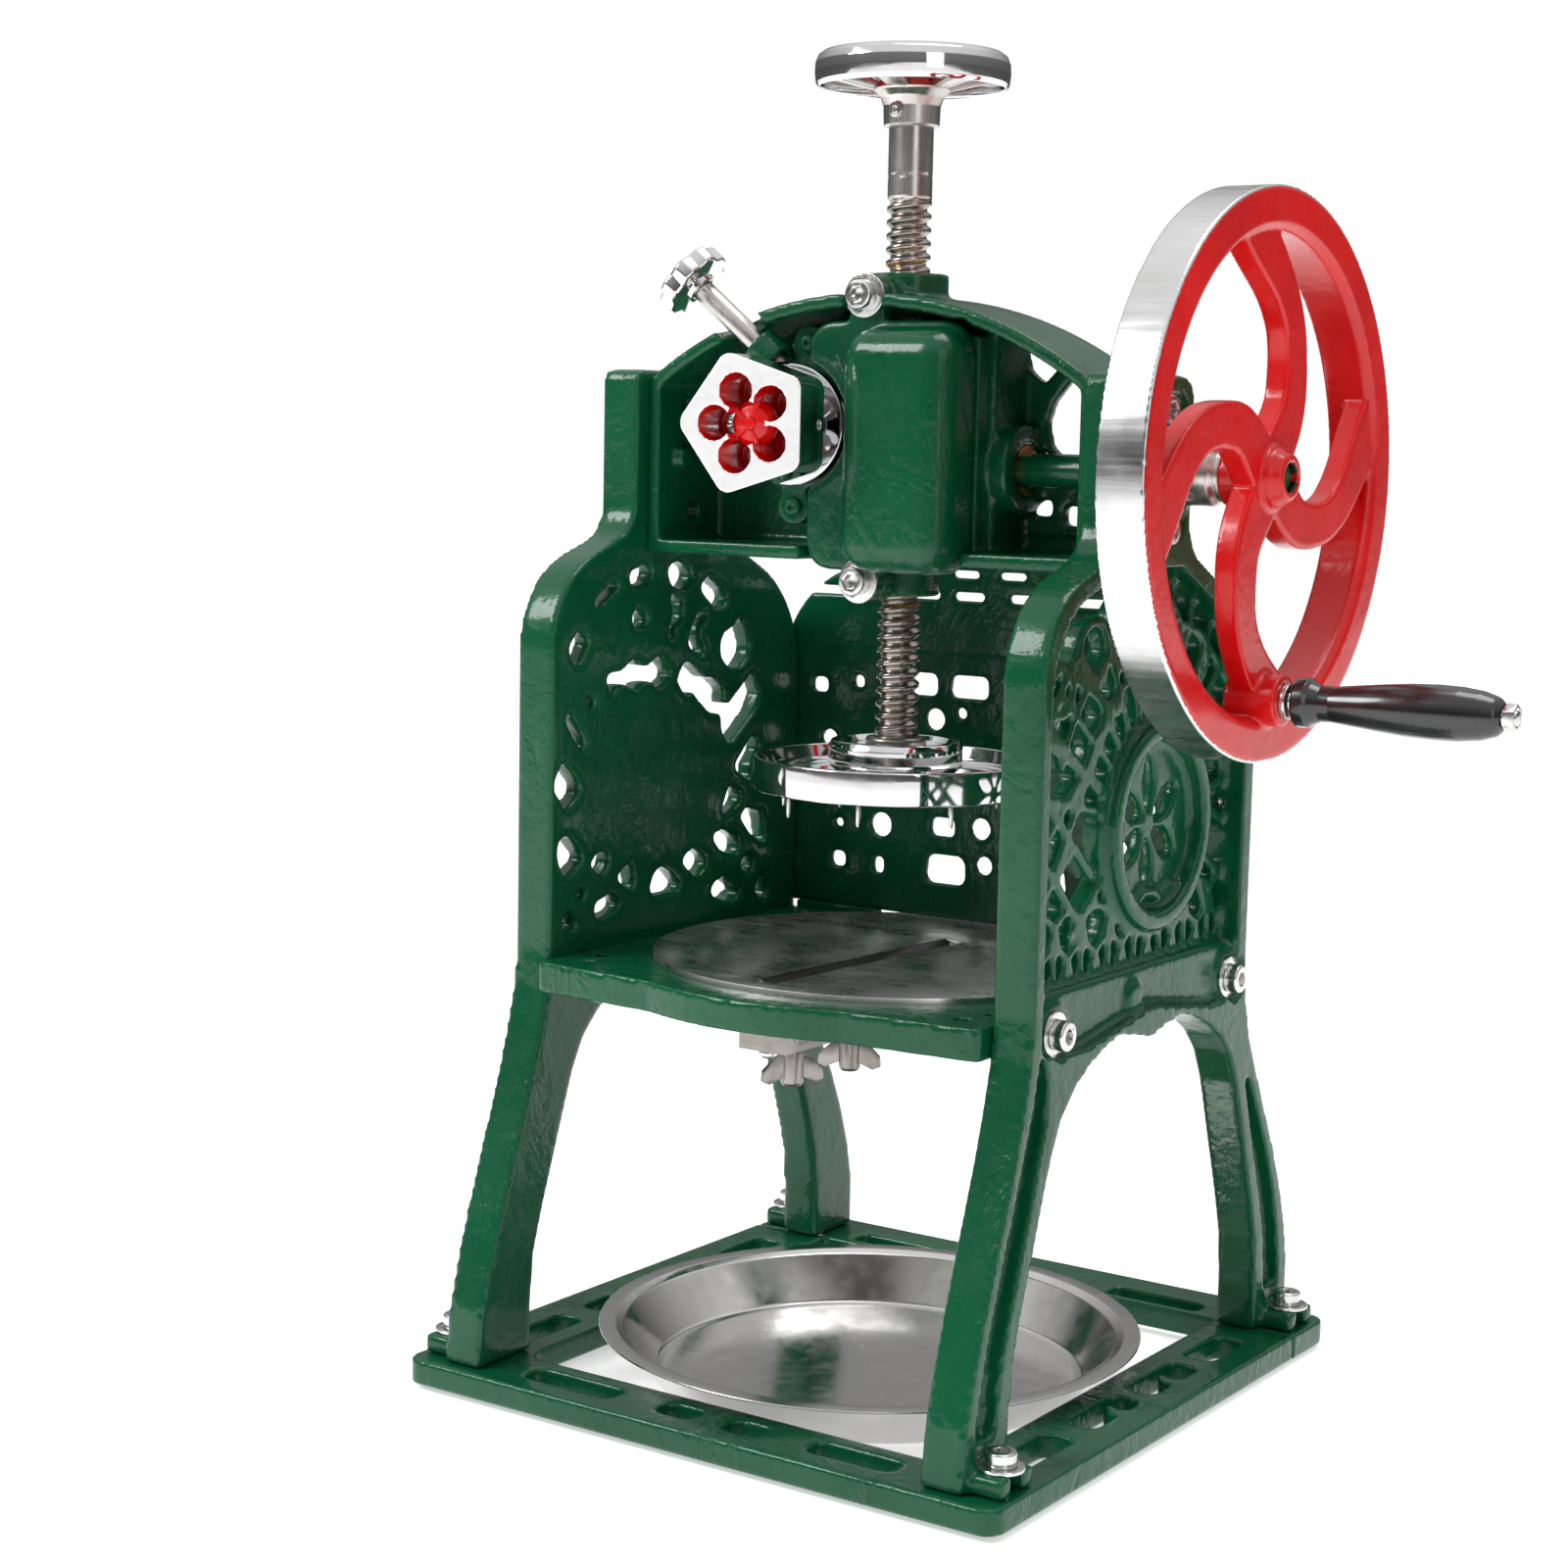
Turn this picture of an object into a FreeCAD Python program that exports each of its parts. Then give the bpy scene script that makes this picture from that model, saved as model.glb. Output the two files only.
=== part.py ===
import FreeCAD, Part
import Sketcher
import math
import os

# Hand-cranked ice shaver.  Millimetres, +Z up, +X towards the crank, +Y to the
# back.  The origin is the centre of the base on the surface that it stands on.
# The vertical spindle runs through the origin, the crank shaft runs along X
# at crank_height, and the feed shaft looks forward, ten degrees to the right.

os.makedirs("parts", exist_ok=True)
doc = FreeCAD.newDocument("IceShaver")
sheet = doc.addObject("Spreadsheet::Sheet", "Dims")

CELLS = [
    ("base_width", 310), ("base_depth", 320), ("base_top", 14), ("base_under", 2.5),
    ("frame_inner", 116), ("frame_thick", 20), ("frame_web", 10), ("apron_step", 15.5),
    ("rim_width", 9), ("neck_top", 462), ("neck_front", -46), ("neck_back", 18),
    ("table_top", 195), ("table_thick", 14), ("table_half", 115.9),
    ("plate_radius", 110), ("plate_thick", 6), ("plate_top", 197.5),
    ("crank_height", 420), ("crank_radius", 7.5), ("crank_bore", 7.56),
    ("wheel_radius", 119.5), ("wheel_inner", 101), ("wheel_width", 22), ("wheel_from", 162),
    ("handle_throw", 93), ("grip_length", 95.5), ("grip_radius", 11.5), ("grip_from", 191.5),
    ("screw_radius", 10), ("screw_core", 8), ("screw_pitch", 6), ("screw_bore", 10.07),
    ("screw_top", 584), ("thread_top", 538), ("thread_bottom", 289),
    ("handwheel_radius", 43.7), ("handwheel_low", 570.6), ("handwheel_high", 603.5),
    ("presser_radius", 65), ("presser_low", 273), ("presser_high", 288),
    ("collar_radius", 31), ("collar_high", 296), ("nut_high", 304),
    ("spike_length", 11), ("spike_radius", 1),
    ("case_low", 378), ("case_high", 478), ("case_wall", 8),
    ("gear_back", 388.5), ("gear_hub", 14), ("gear_bore", 10.07),
    ("nut_height", 438), ("nut_hub", 16),
    ("feed_tilt", 10), ("feed_x", -44.3), ("feed_y", -7.8),
    ("feed_shaft_radius", 7), ("feed_bore", 7.06),
    ("drum_radius", 27.5), ("drum_from", 21), ("drum_to", 28),
    ("knob_from", 42.5), ("knob_to", 73.5), ("knob_corner", 33),
    ("brake_rod", 5), ("brake_bore", 5.06),
    ("tray_rim", 126), ("tray_wall", 107), ("tray_floor", 98), ("tray_high", 24),
    ("washer_thick", 1.6),
    ("bolt_head", 6.5), ("bolt_head_high", 6), ("bolt_shank", 4), ("bolt_hex", 3.46),
    ("small_head", 4.25), ("small_head_high", 3.2), ("small_shank", 2.5),
]
VALUE = {}
for row, (name, number) in enumerate(CELLS):
    sheet.set("A%d" % (row + 1), name)
    sheet.set("B%d" % (row + 1), str(number))
    sheet.setAlias("B%d" % (row + 1), name)
    VALUE[name] = float(number)
doc.recompute()


class Size:
    """A cell of the sheet, or a sum, difference, product or quotient of cells."""

    def __init__(self, text, value):
        self.text, self.value = text, value

    def __add__(self, other):
        o = size(other)
        return Size("(%s + %s)" % (self.text, o.text), self.value + o.value)

    def __radd__(self, other):
        return size(other) + self

    def __sub__(self, other):
        o = size(other)
        return Size("(%s - %s)" % (self.text, o.text), self.value - o.value)

    def __rsub__(self, other):
        return size(other) - self

    def __mul__(self, other):
        o = size(other)
        return Size("(%s * %s)" % (self.text, o.text), self.value * o.value)

    def __rmul__(self, other):
        return size(other) * self

    def __neg__(self):
        return Size("(0 - %s)" % self.text, -self.value)


def size(thing):
    if isinstance(thing, Size):
        return thing
    return Size(repr(round(float(thing), 6)), float(thing))


class Cells:
    def __getattr__(self, name):
        return Size("Dims." + name, VALUE[name])


d = Cells()
NODES = []      # (node name, document object)


def V(x, y, z=0.0):
    return FreeCAD.Vector(float(x), float(y), float(z))


def num(thing):
    return size(thing).value


def at(x=0.0, y=0.0, z=0.0, axis=(0, 0, 1), angle=0.0):
    return FreeCAD.Placement(V(num(x), num(y), num(z)), FreeCAD.Rotation(V(*axis), angle))


def axis_place(origin, direction, roll=0.0):
    """Placement that carries local Z onto direction."""
    turn = FreeCAD.Rotation(V(0, 0, 1), V(*direction))
    return FreeCAD.Placement(V(*origin), turn.multiply(FreeCAD.Rotation(V(0, 0, 1), roll)))


def bind(obj, prop, thing):
    s = size(thing)
    setattr(obj, prop, s.value)
    if "Dims." in s.text:
        obj.setExpression(prop, s.text)


def node(name, obj):
    obj.Label = name
    NODES.append((name, obj))
    return obj


# ---------------------------------------------------------------- bodies

def origin_plane(body, role):
    for feature in body.Origin.OriginFeatures:
        if feature.Role == role:
            return feature


def new_body(name):
    return doc.addObject("PartDesign::Body", name)


def new_sketch(body, name, role, shift=0.0):
    sk = body.newObject("Sketcher::SketchObject", name)
    sk.AttachmentSupport = (origin_plane(body, role), [""])
    sk.MapMode = "FlatFace"
    s = size(shift)
    if s.value or "Dims." in s.text:
        sk.AttachmentOffset = FreeCAD.Placement(V(0, 0, s.value), FreeCAD.Rotation())
        if "Dims." in s.text:
            sk.setExpression("AttachmentOffset.Base.z", s.text)
    return sk


def draw(sk, points):
    """Closed polygon, every corner tied to the origin by bound distances."""
    pts = [(size(a), size(b)) for a, b in points]
    n = len(pts)
    first = sk.GeometryCount
    lines = [Part.LineSegment(V(pts[i][0].value, pts[i][1].value),
                              V(pts[(i + 1) % n][0].value, pts[(i + 1) % n][1].value)) for i in range(n)]
    sk.addGeometry(lines, False)
    cons, names = [], []
    for i in range(n):
        cons.append(Sketcher.Constraint("Coincident", first + i, 2, first + (i + 1) % n, 1))
        names.append(None)
    for i in range(n):
        for kind, s, line in (("DistanceX", pts[i][0], -2), ("DistanceY", pts[i][1], -1)):
            if abs(s.value) < 1e-9:
                cons.append(Sketcher.Constraint("PointOnObject", first + i, 1, line))
                names.append(None)
            else:
                cons.append(Sketcher.Constraint(kind, -1, 1, first + i, 1, s.value))
                names.append(s.text if "Dims." in s.text else None)
    start = sk.ConstraintCount
    sk.addConstraint(cons)
    for i, text in enumerate(names):
        if text:
            sk.renameConstraint(start + i, "c%d" % (start + i))
            sk.setExpression("Constraints.c%d" % (start + i), text)
    return sk


def ring(sk, radius, cx=0.0, cy=0.0):
    """Circle with a bound radius and centre."""
    r, x, y = size(radius), size(cx), size(cy)
    i = sk.GeometryCount
    sk.addGeometry([Part.Circle(V(x.value, y.value), V(0, 0, 1), r.value)], False)
    start = sk.ConstraintCount
    cons, texts = [Sketcher.Constraint("Radius", i, r.value)], [r.text]
    for kind, s, line in (("DistanceX", x, -2), ("DistanceY", y, -1)):
        if abs(s.value) < 1e-9:
            cons.append(Sketcher.Constraint("PointOnObject", i, 3, line))
            texts.append("")
        else:
            cons.append(Sketcher.Constraint(kind, -1, 1, i, 3, s.value))
            texts.append(s.text)
    sk.addConstraint(cons)
    for k, text in enumerate(texts):
        if "Dims." in text:
            sk.renameConstraint(start + k, "r%d" % (start + k))
            sk.setExpression("Constraints.r%d" % (start + k), text)
    return sk


def turned(name, profile, place=None, body=None):
    """Lathe work: profile of (radius, height) turned round the body's own Z."""
    body = body or new_body(name)
    sk = new_sketch(body, name + "_profile", "XZ_Plane")
    draw(sk, profile)
    rev = body.newObject("PartDesign::Revolution", name + "_turned")
    rev.Profile = sk
    rev.ReferenceAxis = (sk, ["V_Axis"])
    rev.Angle = 360
    if place is not None:
        body.Placement = place
    return body


def pad(body, name, low, high, circles=(), polygons=()):
    """Pad from height low to height high."""
    sk = new_sketch(body, name + "_sketch", "XY_Plane", low)
    for poly in polygons:
        draw(sk, poly)
    for c in circles:
        ring(sk, *c)
    p = body.newObject("PartDesign::Pad", name)
    p.Profile = sk
    bind(p, "Length", size(high) - low)
    return p


def pocket(body, name, top, depth, circles=(), polygons=()):
    """Pocket cut downwards from height top."""
    doc.recompute()
    before = body.Shape.Volume
    sk = new_sketch(body, name + "_sketch", "XY_Plane", top)
    for poly in polygons:
        draw(sk, poly)
    for c in circles:
        ring(sk, *c)
    p = body.newObject("PartDesign::Pocket", name)
    p.Profile = sk
    bind(p, "Length", depth)
    doc.recompute()
    if body.Shape.Volume > before - 1e-3:
        p.Reversed = True
        doc.recompute()
    if body.Shape.Volume > before - 1e-3:
        raise RuntimeError("pocket cuts nothing: " + name)
    return p


def group(name, source, places):
    """Identical pieces: links to one source body, gathered in one compound."""
    links = []
    for i, place in enumerate(places):
        link = doc.addObject("App::Link", "%s_%d" % (name, i + 1))
        link.LinkedObject = source
        link.Placement = place
        links.append(link)
    comp = doc.addObject("Part::Compound", name)
    comp.Links = links
    return node(name, comp)


def hexagon(across):
    """Corners of a hexagon with the given circumscribed radius."""
    return [(across * round(math.cos(math.radians(60 * i)), 6), across * round(math.sin(math.radians(60 * i)), 6))
            for i in range(6)]


# ---------------------------------------------------------------- free shapes

def outline(points, lift=0.0, close=True):
    """Wire through points (a, b) or (a, b, radius): arcs at rounded corners."""
    pts = [(float(p[0]), float(p[1]), float(p[2]) if len(p) > 2 else 0.0) for p in points]
    n = len(pts)
    nodes = []
    for i in range(n):
        a, b, r = pts[i]
        if r <= 0:
            nodes.append((V(a, b, lift), None, V(a, b, lift)))
            continue
        here = V(a, b, lift)
        p = V(pts[i - 1][0], pts[i - 1][1], lift) - here
        q = V(pts[(i + 1) % n][0], pts[(i + 1) % n][1], lift) - here
        lp, lq = p.Length, q.Length
        p.normalize()
        q.normalize()
        half = math.acos(max(-1.0, min(1.0, p.dot(q)))) / 2
        if abs(half - math.pi / 2) < 0.01:
            nodes.append((here, None, here))
            continue
        reach = min(r / math.tan(half), 0.48 * lp, 0.48 * lq)
        r = reach * math.tan(half)
        bis = p + q
        bis.normalize()
        centre = here + bis * (r / math.sin(half))
        mid = centre - bis * r
        nodes.append((here + p * reach, mid, here + q * reach))
    edges = []
    for i in range(n):
        start, mid, end = nodes[i]
        if mid is not None:
            edges.append(Part.Arc(start, mid, end).toShape())
        nxt = nodes[(i + 1) % n][0]
        if (nxt - end).Length > 1e-6:
            edges.append(Part.makeLine(end, nxt))
    return Part.Wire(edges)


def smooth(points, lift=0.0):
    """Closed smooth outline through the points."""
    curve = Part.BSplineCurve()
    curve.interpolate(Points=[V(p[0], p[1], lift) for p in points], PeriodicFlag=True)
    return Part.Wire([curve.toShape()])


def plate(wire, low, high):
    face = Part.Face(wire)
    face.translate(V(0, 0, low - wire.BoundBox.ZMin))
    return face.extrude(V(0, 0, high - low))


def side(shape, sign=1):
    """Carry a shape drawn as (x: Y, y: Z, z: X) into place, mirrored for the left."""
    out = shape.copy()
    out.Placement = FreeCAD.Placement(FreeCAD.Matrix(0, 0, 1, 0, 1, 0, 0, 0, 0, 1, 0, 0, 0, 0, 0, 1))
    if sign < 0:
        out = out.mirror(V(0, 0, 0), V(1, 0, 0))
    return out


def upright(shape):
    """Carry a shape drawn as (x: X, y: Z, z: minus Y) into place."""
    out = shape.copy()
    out.Placement = FreeCAD.Placement(V(0, 0, 0), FreeCAD.Rotation(V(1, 0, 0), 90))
    return out


def cylinder(radius, base, direction, length):
    return Part.makeCylinder(radius, length, V(*base), V(*direction))


def block(x0, x1, y0, y1, z0, z1):
    return Part.makeBox(x1 - x0, y1 - y0, z1 - z0, V(x0, y0, z0))


def casting(name, shape, place=None):
    """A free-form piece, its shape set by Part's own functions."""
    obj = doc.addObject("Part::Feature", name)
    obj.Shape = shape
    if place is not None:
        obj.Placement = place
    return node(name, obj)


def one_solid(shape):
    solids = sorted(shape.Solids, key=lambda s: -s.Volume)
    return solids[0]


# ================================================================ the stand

IN, THICK = num(d.frame_inner), num(d.frame_thick)
OUT = IN + THICK                      # outer face of the frame rims
APRON = IN + num(d.apron_step)        # bolt pads on the apron
TOP = num(d.base_top)
CRANK_Z = num(d.crank_height)
NECK_TOP, NECK_A, NECK_B = num(d.neck_top), num(d.neck_front), num(d.neck_back)

# --- base: front and side bars in one casting, the rear bar on its own
BASE_X, BASE_Y = num(d.base_width) / 2, num(d.base_depth) / 2
UNDER = num(d.base_under)
base = plate(outline([(-BASE_X, -BASE_Y, 9), (BASE_X, -BASE_Y, 9), (BASE_X, 120.8), (113, 120.8), (113, -124, 12),
                      (-113, -124, 12), (-113, 120.8), (-BASE_X, 120.8)]), UNDER, TOP)
cuts = []
for x0, x1 in ((-97, -47), (-23, -3), (12, 32), (55, 98)):
    cuts.append(plate(outline([(x0, -147, 5), (x1, -147, 5), (x1, -133, 5), (x0, -133, 5)]), UNDER - 1, TOP + 1))
for s in (-1, 1):
    for y0, y1, tab in ((-110, -66, None), (-50, -5, -24), (5, 52, 28), (63, 100, None)):
        slot = plate(outline([(125, y0, 5), (140, y0, 5), (140, y1, 5), (125, y1, 5)]), UNDER - 1, TOP + 1)
        if tab is not None:
            slot = slot.cut(plate(outline([(141, tab - 4), (134, tab - 3, 3), (129, tab + 3, 2), (131, tab + 6, 1),
                                           (136, tab + 3, 2), (141, tab + 5)]), UNDER - 2, TOP + 2))
        cuts.append(slot if s > 0 else slot.mirror(V(0, 0, 0), V(1, 0, 0)))
    for y in (-136, 136):
        cuts.append(cylinder(4.3, (s * 144, y, 0), (0, 0, 1), 20))
        cuts.append(cylinder(12.2, (s * 136, y * 0.985, -1), (0, 0, 1), UNDER + 3.5))
under = block(-150, 150, -155, 116, UNDER - 1, UNDER + 4)
under = under.cut(block(-117, 117, -128, 130, UNDER - 2, UNDER + 6))
base = base.cut(cuts)
casting("base_frame", one_solid(base))

rear = plate(outline([(-BASE_X, 121.2), (BASE_X, 121.2), (BASE_X, BASE_Y, 9), (-BASE_X, BASE_Y, 9)]), UNDER, TOP)
rear = rear.cut(block(-113, 113, 113, 123, 0, 20)).cut(block(-113, 113, 113, 121.3, 0, 20))
cuts = [plate(outline([(s * 50, 128, 4), (s * 100, 128, 4), (s * 100, 141, 4), (s * 50, 141, 4)]), UNDER - 1, TOP + 1)
        for s in (-1, 1)]
for s in (-1, 1):
    cuts.append(cylinder(4.3, (s * 144, 136, 0), (0, 0, 1), 20))
    cuts.append(cylinder(12.2, (s * 136, 136 * 0.985, -1), (0, 0, 1), UNDER + 3.5))
    # lap joint: a tongue of the rear bar is screwed to each side bar
    cuts.append(cylinder(3.1, (s * 119, 126, 0), (0, 0, 1), 20))
rear = rear.cut(cuts)
casting("base_rear_bar", one_solid(rear))
lap = new_body("lap_plate")
pad(lap, "lap_blank", UNDER - 1.4, UNDER - 0.05, polygons=[[(115, 108), (123, 108), (123, 131), (115, 131)]])
lap_screw = turned("lap_screw", [(0, UNDER - 0.05), (3, UNDER - 0.05), (3, TOP), (0, TOP)], at(119, 126, 0))
laps = doc.addObject("Part::MultiFuse", "lap_right")
laps.Shapes = [lap, lap_screw]
group("rear_bar_screws", laps, [at(), at(-238, 0, 0)])

foot = turned("foot_pad", [(0, 0), (11.5, 0), (12, 0.6), (12, UNDER + 2.5), (0, UNDER + 2.5)])
group("rubber_feet", foot, [at(sx * 136, sy * 136 * 0.985, 0) for sx in (-1, 1) for sy in (-1, 1)])

# --- side frames, drawn in (Y, Z) and thick along X
ARCH = [(116, 14), (116.5, 35), (114, 60), (108, 80), (101, 100), (94, 120), (87, 140), (79, 155, 12), (69, 165, 10),
        (58, 172, 10), (42, 178.5, 12), (30, 181.5, 10), (14, 179, 10)]
FRONT_LEG = [(-106, 200, 30), (-108, 180), (-113, 160), (-119, 140), (-126, 120), (-133, 100), (-140, 80), (-146, 60),
             (-151, 40), (-153, 23), (-154, 14)]
REAR_LEG = [(153, 14), (152.5, 40), (148, 60), (141, 80), (132, 100), (121, 120), (110, 140), (100, 160), (94, 180),
            (92, 200, 30)]
FRAME = ([(NECK_A, NECK_TOP, 5), (NECK_A, 388, 20), (-106, 366, 60)] + FRONT_LEG
         + [(-a[0],) + tuple(a[1:]) for a in ARCH] + [(0, 176, 3)] + ARCH[::-1] + REAR_LEG
         + [(92, 352, 60), (NECK_B, 388, 20), (NECK_B, NECK_TOP, 12)])
CHANNEL = [(-98, 190, 4), (-101, 172), (-105, 158), (-111, 140), (-118, 120), (-125, 100), (-132, 80), (-137.5, 60),
           (-142, 40), (-143, 32, 3), (-127, 32, 3), (-126, 45), (-124, 60), (-118, 80), (-111, 100), (-104, 120),
           (-98, 140), (-93, 155), (-92, 172, 4)]
REAR_CHANNEL = [(101, 141, 1.5), (113, 120), (124, 100), (132.5, 80), (138.5, 60), (142, 40), (143, 32, 3), (127, 32, 3),
                (126, 45), (124, 60), (118, 80), (110.5, 100), (103.5, 120), (97.5, 139, 1.5)]
WEB = [(-97, 207, 4), (-97, 359.7, 51), (-43, 379.6, 10), (14, 380, 10), (83, 346.4, 51), (83, 207, 4)]
LEFT_OPENINGS = [
    [(-75.3, 356.0), (-61.4, 365.6), (-57.1, 364.0), (-57.9, 361.0), (-72.1, 353.0), (-75.0, 353.6)],
    [(-49.7, 368.4), (-35.2, 372.4), (-32.3, 371.0), (-31.9, 367.0), (-34.2, 363.0), (-47.8, 362.0)],
    [(-19.7, 368.0), (-16.8, 372.0), (-9.0, 372.6), (-2.2, 370.0), (0.3, 366.0), (-3.2, 361.0), (-8.0, 359.0), (-16.8, 362.0)],
    [(5.5, 360.0), (13.3, 365.0), (27.9, 357.0), (29.8, 354.0), (26.9, 351.0), (18.5, 350.0)],
    [(24.0, 332.0), (26.9, 337.0), (35.6, 340.0), (39.1, 345.0), (44.3, 340.0), (48.8, 330.0), (47.3, 325.0), (40.5, 319.6), (31.7, 320.0), (24.9, 325.0)],
    [(-46.2, 350.0), (-43.0, 351.0), (-36.2, 349.0), (-34.8, 345.0), (-37.1, 343.0), (-45.9, 343.0)],
    [(-17.7, 357.0), (-13.9, 358.0), (-5.1, 354.0), (-9.0, 350.0), (-5.1, 347.0), (-10.9, 344.0), (-14.8, 336.0), (-19.7, 336.0), (-15.8, 345.0), (-14.8, 350.0)],
    [(4.6, 347.0), (9.4, 349.0), (14.3, 347.0), (7.5, 341.0), (6.5, 336.0), (13.3, 328.0), (8.5, 327.0), (-2.2, 332.0), (-1.2, 339.0)],
    [(-93.4, 336.0), (-86.2, 343.6), (-77.9, 338.0), (-86.6, 326.4), (-91.5, 330.0)],
    [(-66.6, 335.6), (-63.3, 339.6), (-60.4, 338.0), (-64.3, 335.0)],
    [(-66.2, 322.0), (-53.6, 323.0), (-43.9, 328.4), (-41.0, 325.0), (-34.2, 324.0), (-24.5, 329.0), (-19.7, 324.0), (-13.9, 319.0), (-20.6, 316.0), (-26.5, 312.6), (-31.3, 317.0), (-38.1, 317.0), (-43.9, 314.0), (-52.6, 317.0), (-59.4, 316.0), (-57.9, 311.0), (-61.4, 310.0)],
    [(-10.9, 316.0), (-5.1, 325.0), (1.7, 323.0), (12.3, 316.0), (18.2, 316.0), (28.8, 309.0), (26.9, 303.0), (31.7, 302.0), (52.1, 317.0), (54.0, 312.0), (58.9, 306.0), (53.1, 297.0), (32.7, 281.6), (25.9, 290.0), (25.5, 297.6), (16.2, 299.0), (7.5, 305.0), (1.7, 310.0), (-4.2, 308.4)],
    [(-80.4, 312.0), (-76.5, 314.0), (-73.0, 307.0), (-74.0, 304.0), (-78.8, 308.0)],
    [(-96.3, 304.0), (-92.4, 306.4), (-82.7, 295.0), (-80.8, 290.0), (-82.7, 287.0), (-90.5, 296.0)],
    [(-102.1, 276.0), (-96.7, 284.4), (-84.7, 273.0), (-84.7, 268.0), (-95.3, 261.0), (-99.2, 268.0), (-102.5, 270.0)],
    [(36.6, 270.4), (51.1, 284.0), (56.0, 285.6), (58.9, 278.0), (52.1, 270.0), (52.1, 261.6)],
    [(26.9, 249.0), (33.7, 262.4), (45.3, 256.0), (41.4, 251.0), (29.8, 247.6)],
    [(42.4, 246.0), (49.2, 249.0), (61.8, 246.0), (65.7, 232.0), (62.8, 230.0), (51.1, 237.0)],
    [(18.2, 239.0), (29.8, 240.0), (43.4, 234.0), (42.4, 226.0), (33.7, 228.0), (25.9, 231.0)],
    [(42.4, 222.0), (50.2, 225.6), (57.0, 221.0), (55.0, 217.0), (49.2, 216.4)],
    [(-6.1, 229.0), (4.6, 233.6), (16.2, 228.0), (16.2, 224.0), (7.5, 218.6)],
    [(-30.3, 218.0), (-26.5, 225.0), (-20.6, 227.6), (-12.9, 224.0), (-3.2, 216.0), (-9.0, 214.0), (-27.4, 214.0)],
    [(-57.5, 226.4), (-45.9, 232.0), (-43.0, 229.0), (-42.0, 219.0), (-43.9, 218.4)],
    [(-76.5, 234.0), (-71.1, 239.0), (-63.3, 240.0), (-61.4, 235.0), (-66.2, 227.6)],
    [(-100.2, 242.0), (-99.2, 248.0), (-92.4, 250.0), (-79.8, 238.0), (-94.4, 230.6), (-97.3, 234.0)],
    [(-88.2, 222.0), (-82.7, 225.0), (-75.9, 217.6), (-77.9, 217.0)],
    [(-72.6, 216.0), (-59.4, 219.0), (-50.7, 212.0), (-71.1, 207.6)],
    [(-96.3, 206.0), (-94.4, 216.0), (-88.5, 212.0), (-83.7, 205.6)],
    [(18.2, 209.0), (22.0, 214.4), (31.7, 217.0), (44.3, 207.0), (42.4, 205.0), (35.6, 203.4)],
    [(56.0, 206.0), (61.8, 214.4), (65.7, 212.0), (68.6, 204.0), (64.7, 201.4)],
]


def frame_blank(sign):
    body = plate(outline(FRAME), IN, OUT)
    # the web is set back from the rim on both faces, the apron stands lower than the rim
    body = body.cut(plate(outline(WEB), IN + num(d.frame_web), OUT + 1))
    body = body.cut(plate(outline([(-97, 183, 3), (-97, 207.5), (83, 207.5), (83, 183, 3), (60, 181, 20), (0, 190, 60),
                                   (-60, 181, 20)]), APRON - 1.5, OUT + 1))
    for channel in (CHANNEL, REAR_CHANNEL):
        body = body.cut(plate(outline(channel), OUT - 8, OUT + 1))
    # ledge round the neck, its field set back a little
    body = body.cut(plate(outline([(NECK_A + 6, NECK_TOP - 7, 6), (NECK_A + 6, 392, 8), (NECK_B - 6, 392, 8),
                                   (NECK_B - 6, NECK_TOP - 7, 8)]), OUT - 3, OUT + 1))
    extra, bores = [], []
    # foot lugs stand on the base and carry one bolt each
    for sy in (-1, 1):
        lug = plate(outline([(sy * 136 - 13, TOP, 0), (sy * 136 + 13, TOP, 0), (sy * 136 + 13, TOP + 9, 3),
                             (sy * 136 - 13, TOP + 9, 3)]), OUT - 6, OUT + 16)
        extra.append(lug)
        bores.append(cylinder(4.6, (sy * 136, TOP - 1, 144), (0, 1, 0), 12))
        bores.append(block(sy * 136 - 4.6, sy * 136 + 4.6, TOP - 1, TOP + 11, 144, OUT + 17))
    # table bolts on round pads
    for y in (-81.6, 81.6):
        extra.append(cylinder(12.5, (y, 190, IN), (0, 0, 1), APRON - IN))
        bores.append(cylinder(4.3, (y, 190, IN - 1), (0, 0, 1), 25))
    for y, z in ((-14, 447), (-9, 397)):
        extra.append(cylinder(11, (y, z, IN), (0, 0, 1), THICK - 1.5))
        bores.append(cylinder(4.3, (y, z, IN - 1), (0, 0, 1), 25))
    oval = plate(outline([(-16, 186, 5), (-4, 186, 5), (-4, 200, 5), (-16, 200, 5)]), IN, APRON + 1)
    extra.append(oval)
    small = cylinder(5, (2, 390, IN), (0, 0, 1), THICK).cut(cylinder(2.5, (2, 390, IN + 12), (0, 0, 1), 12))
    extra.append(small)
    # six tapped pads for the back panel screws
    for z in (215, 270, 325):
        bores.append(cylinder(2.55, (70, z, 122.5), (1, 0, 0), 40))
    if sign > 0:
        extra.append(cylinder(19, (0, CRANK_Z, IN), (0, 0, 1), THICK + 1))
        bores.append(cylinder(12, (0, CRANK_Z, IN - 1), (0, 0, 1), 30))
    body = body.fuse(extra)
    return body.cut(bores)


def arc_band(cy, cz, r0, r1, low, high, a0=0.0, a1=360.0):
    outer = Part.makeCylinder(r1, high - low, V(cy, cz, low), V(0, 0, 1), a1 - a0)
    band = outer.cut(Part.makeCylinder(r0, high - low, V(cy, cz, low), V(0, 0, 1)))
    if a0:
        band.rotate(V(cy, cz, 0), V(0, 0, 1), a0)
    return band


def strip(a, b, width, low, high):
    """Straight bar of the lattice between two points."""
    dx, dy = b[0] - a[0], b[1] - a[1]
    n = math.hypot(dx, dy)
    ox, oy = -dy / n * width / 2, dx / n * width / 2
    return plate(outline([(a[0] + ox, a[1] + oy), (b[0] + ox, b[1] + oy), (b[0] - ox, b[1] - oy), (a[0] - ox, a[1] - oy)]),
                 low, high)


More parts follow.
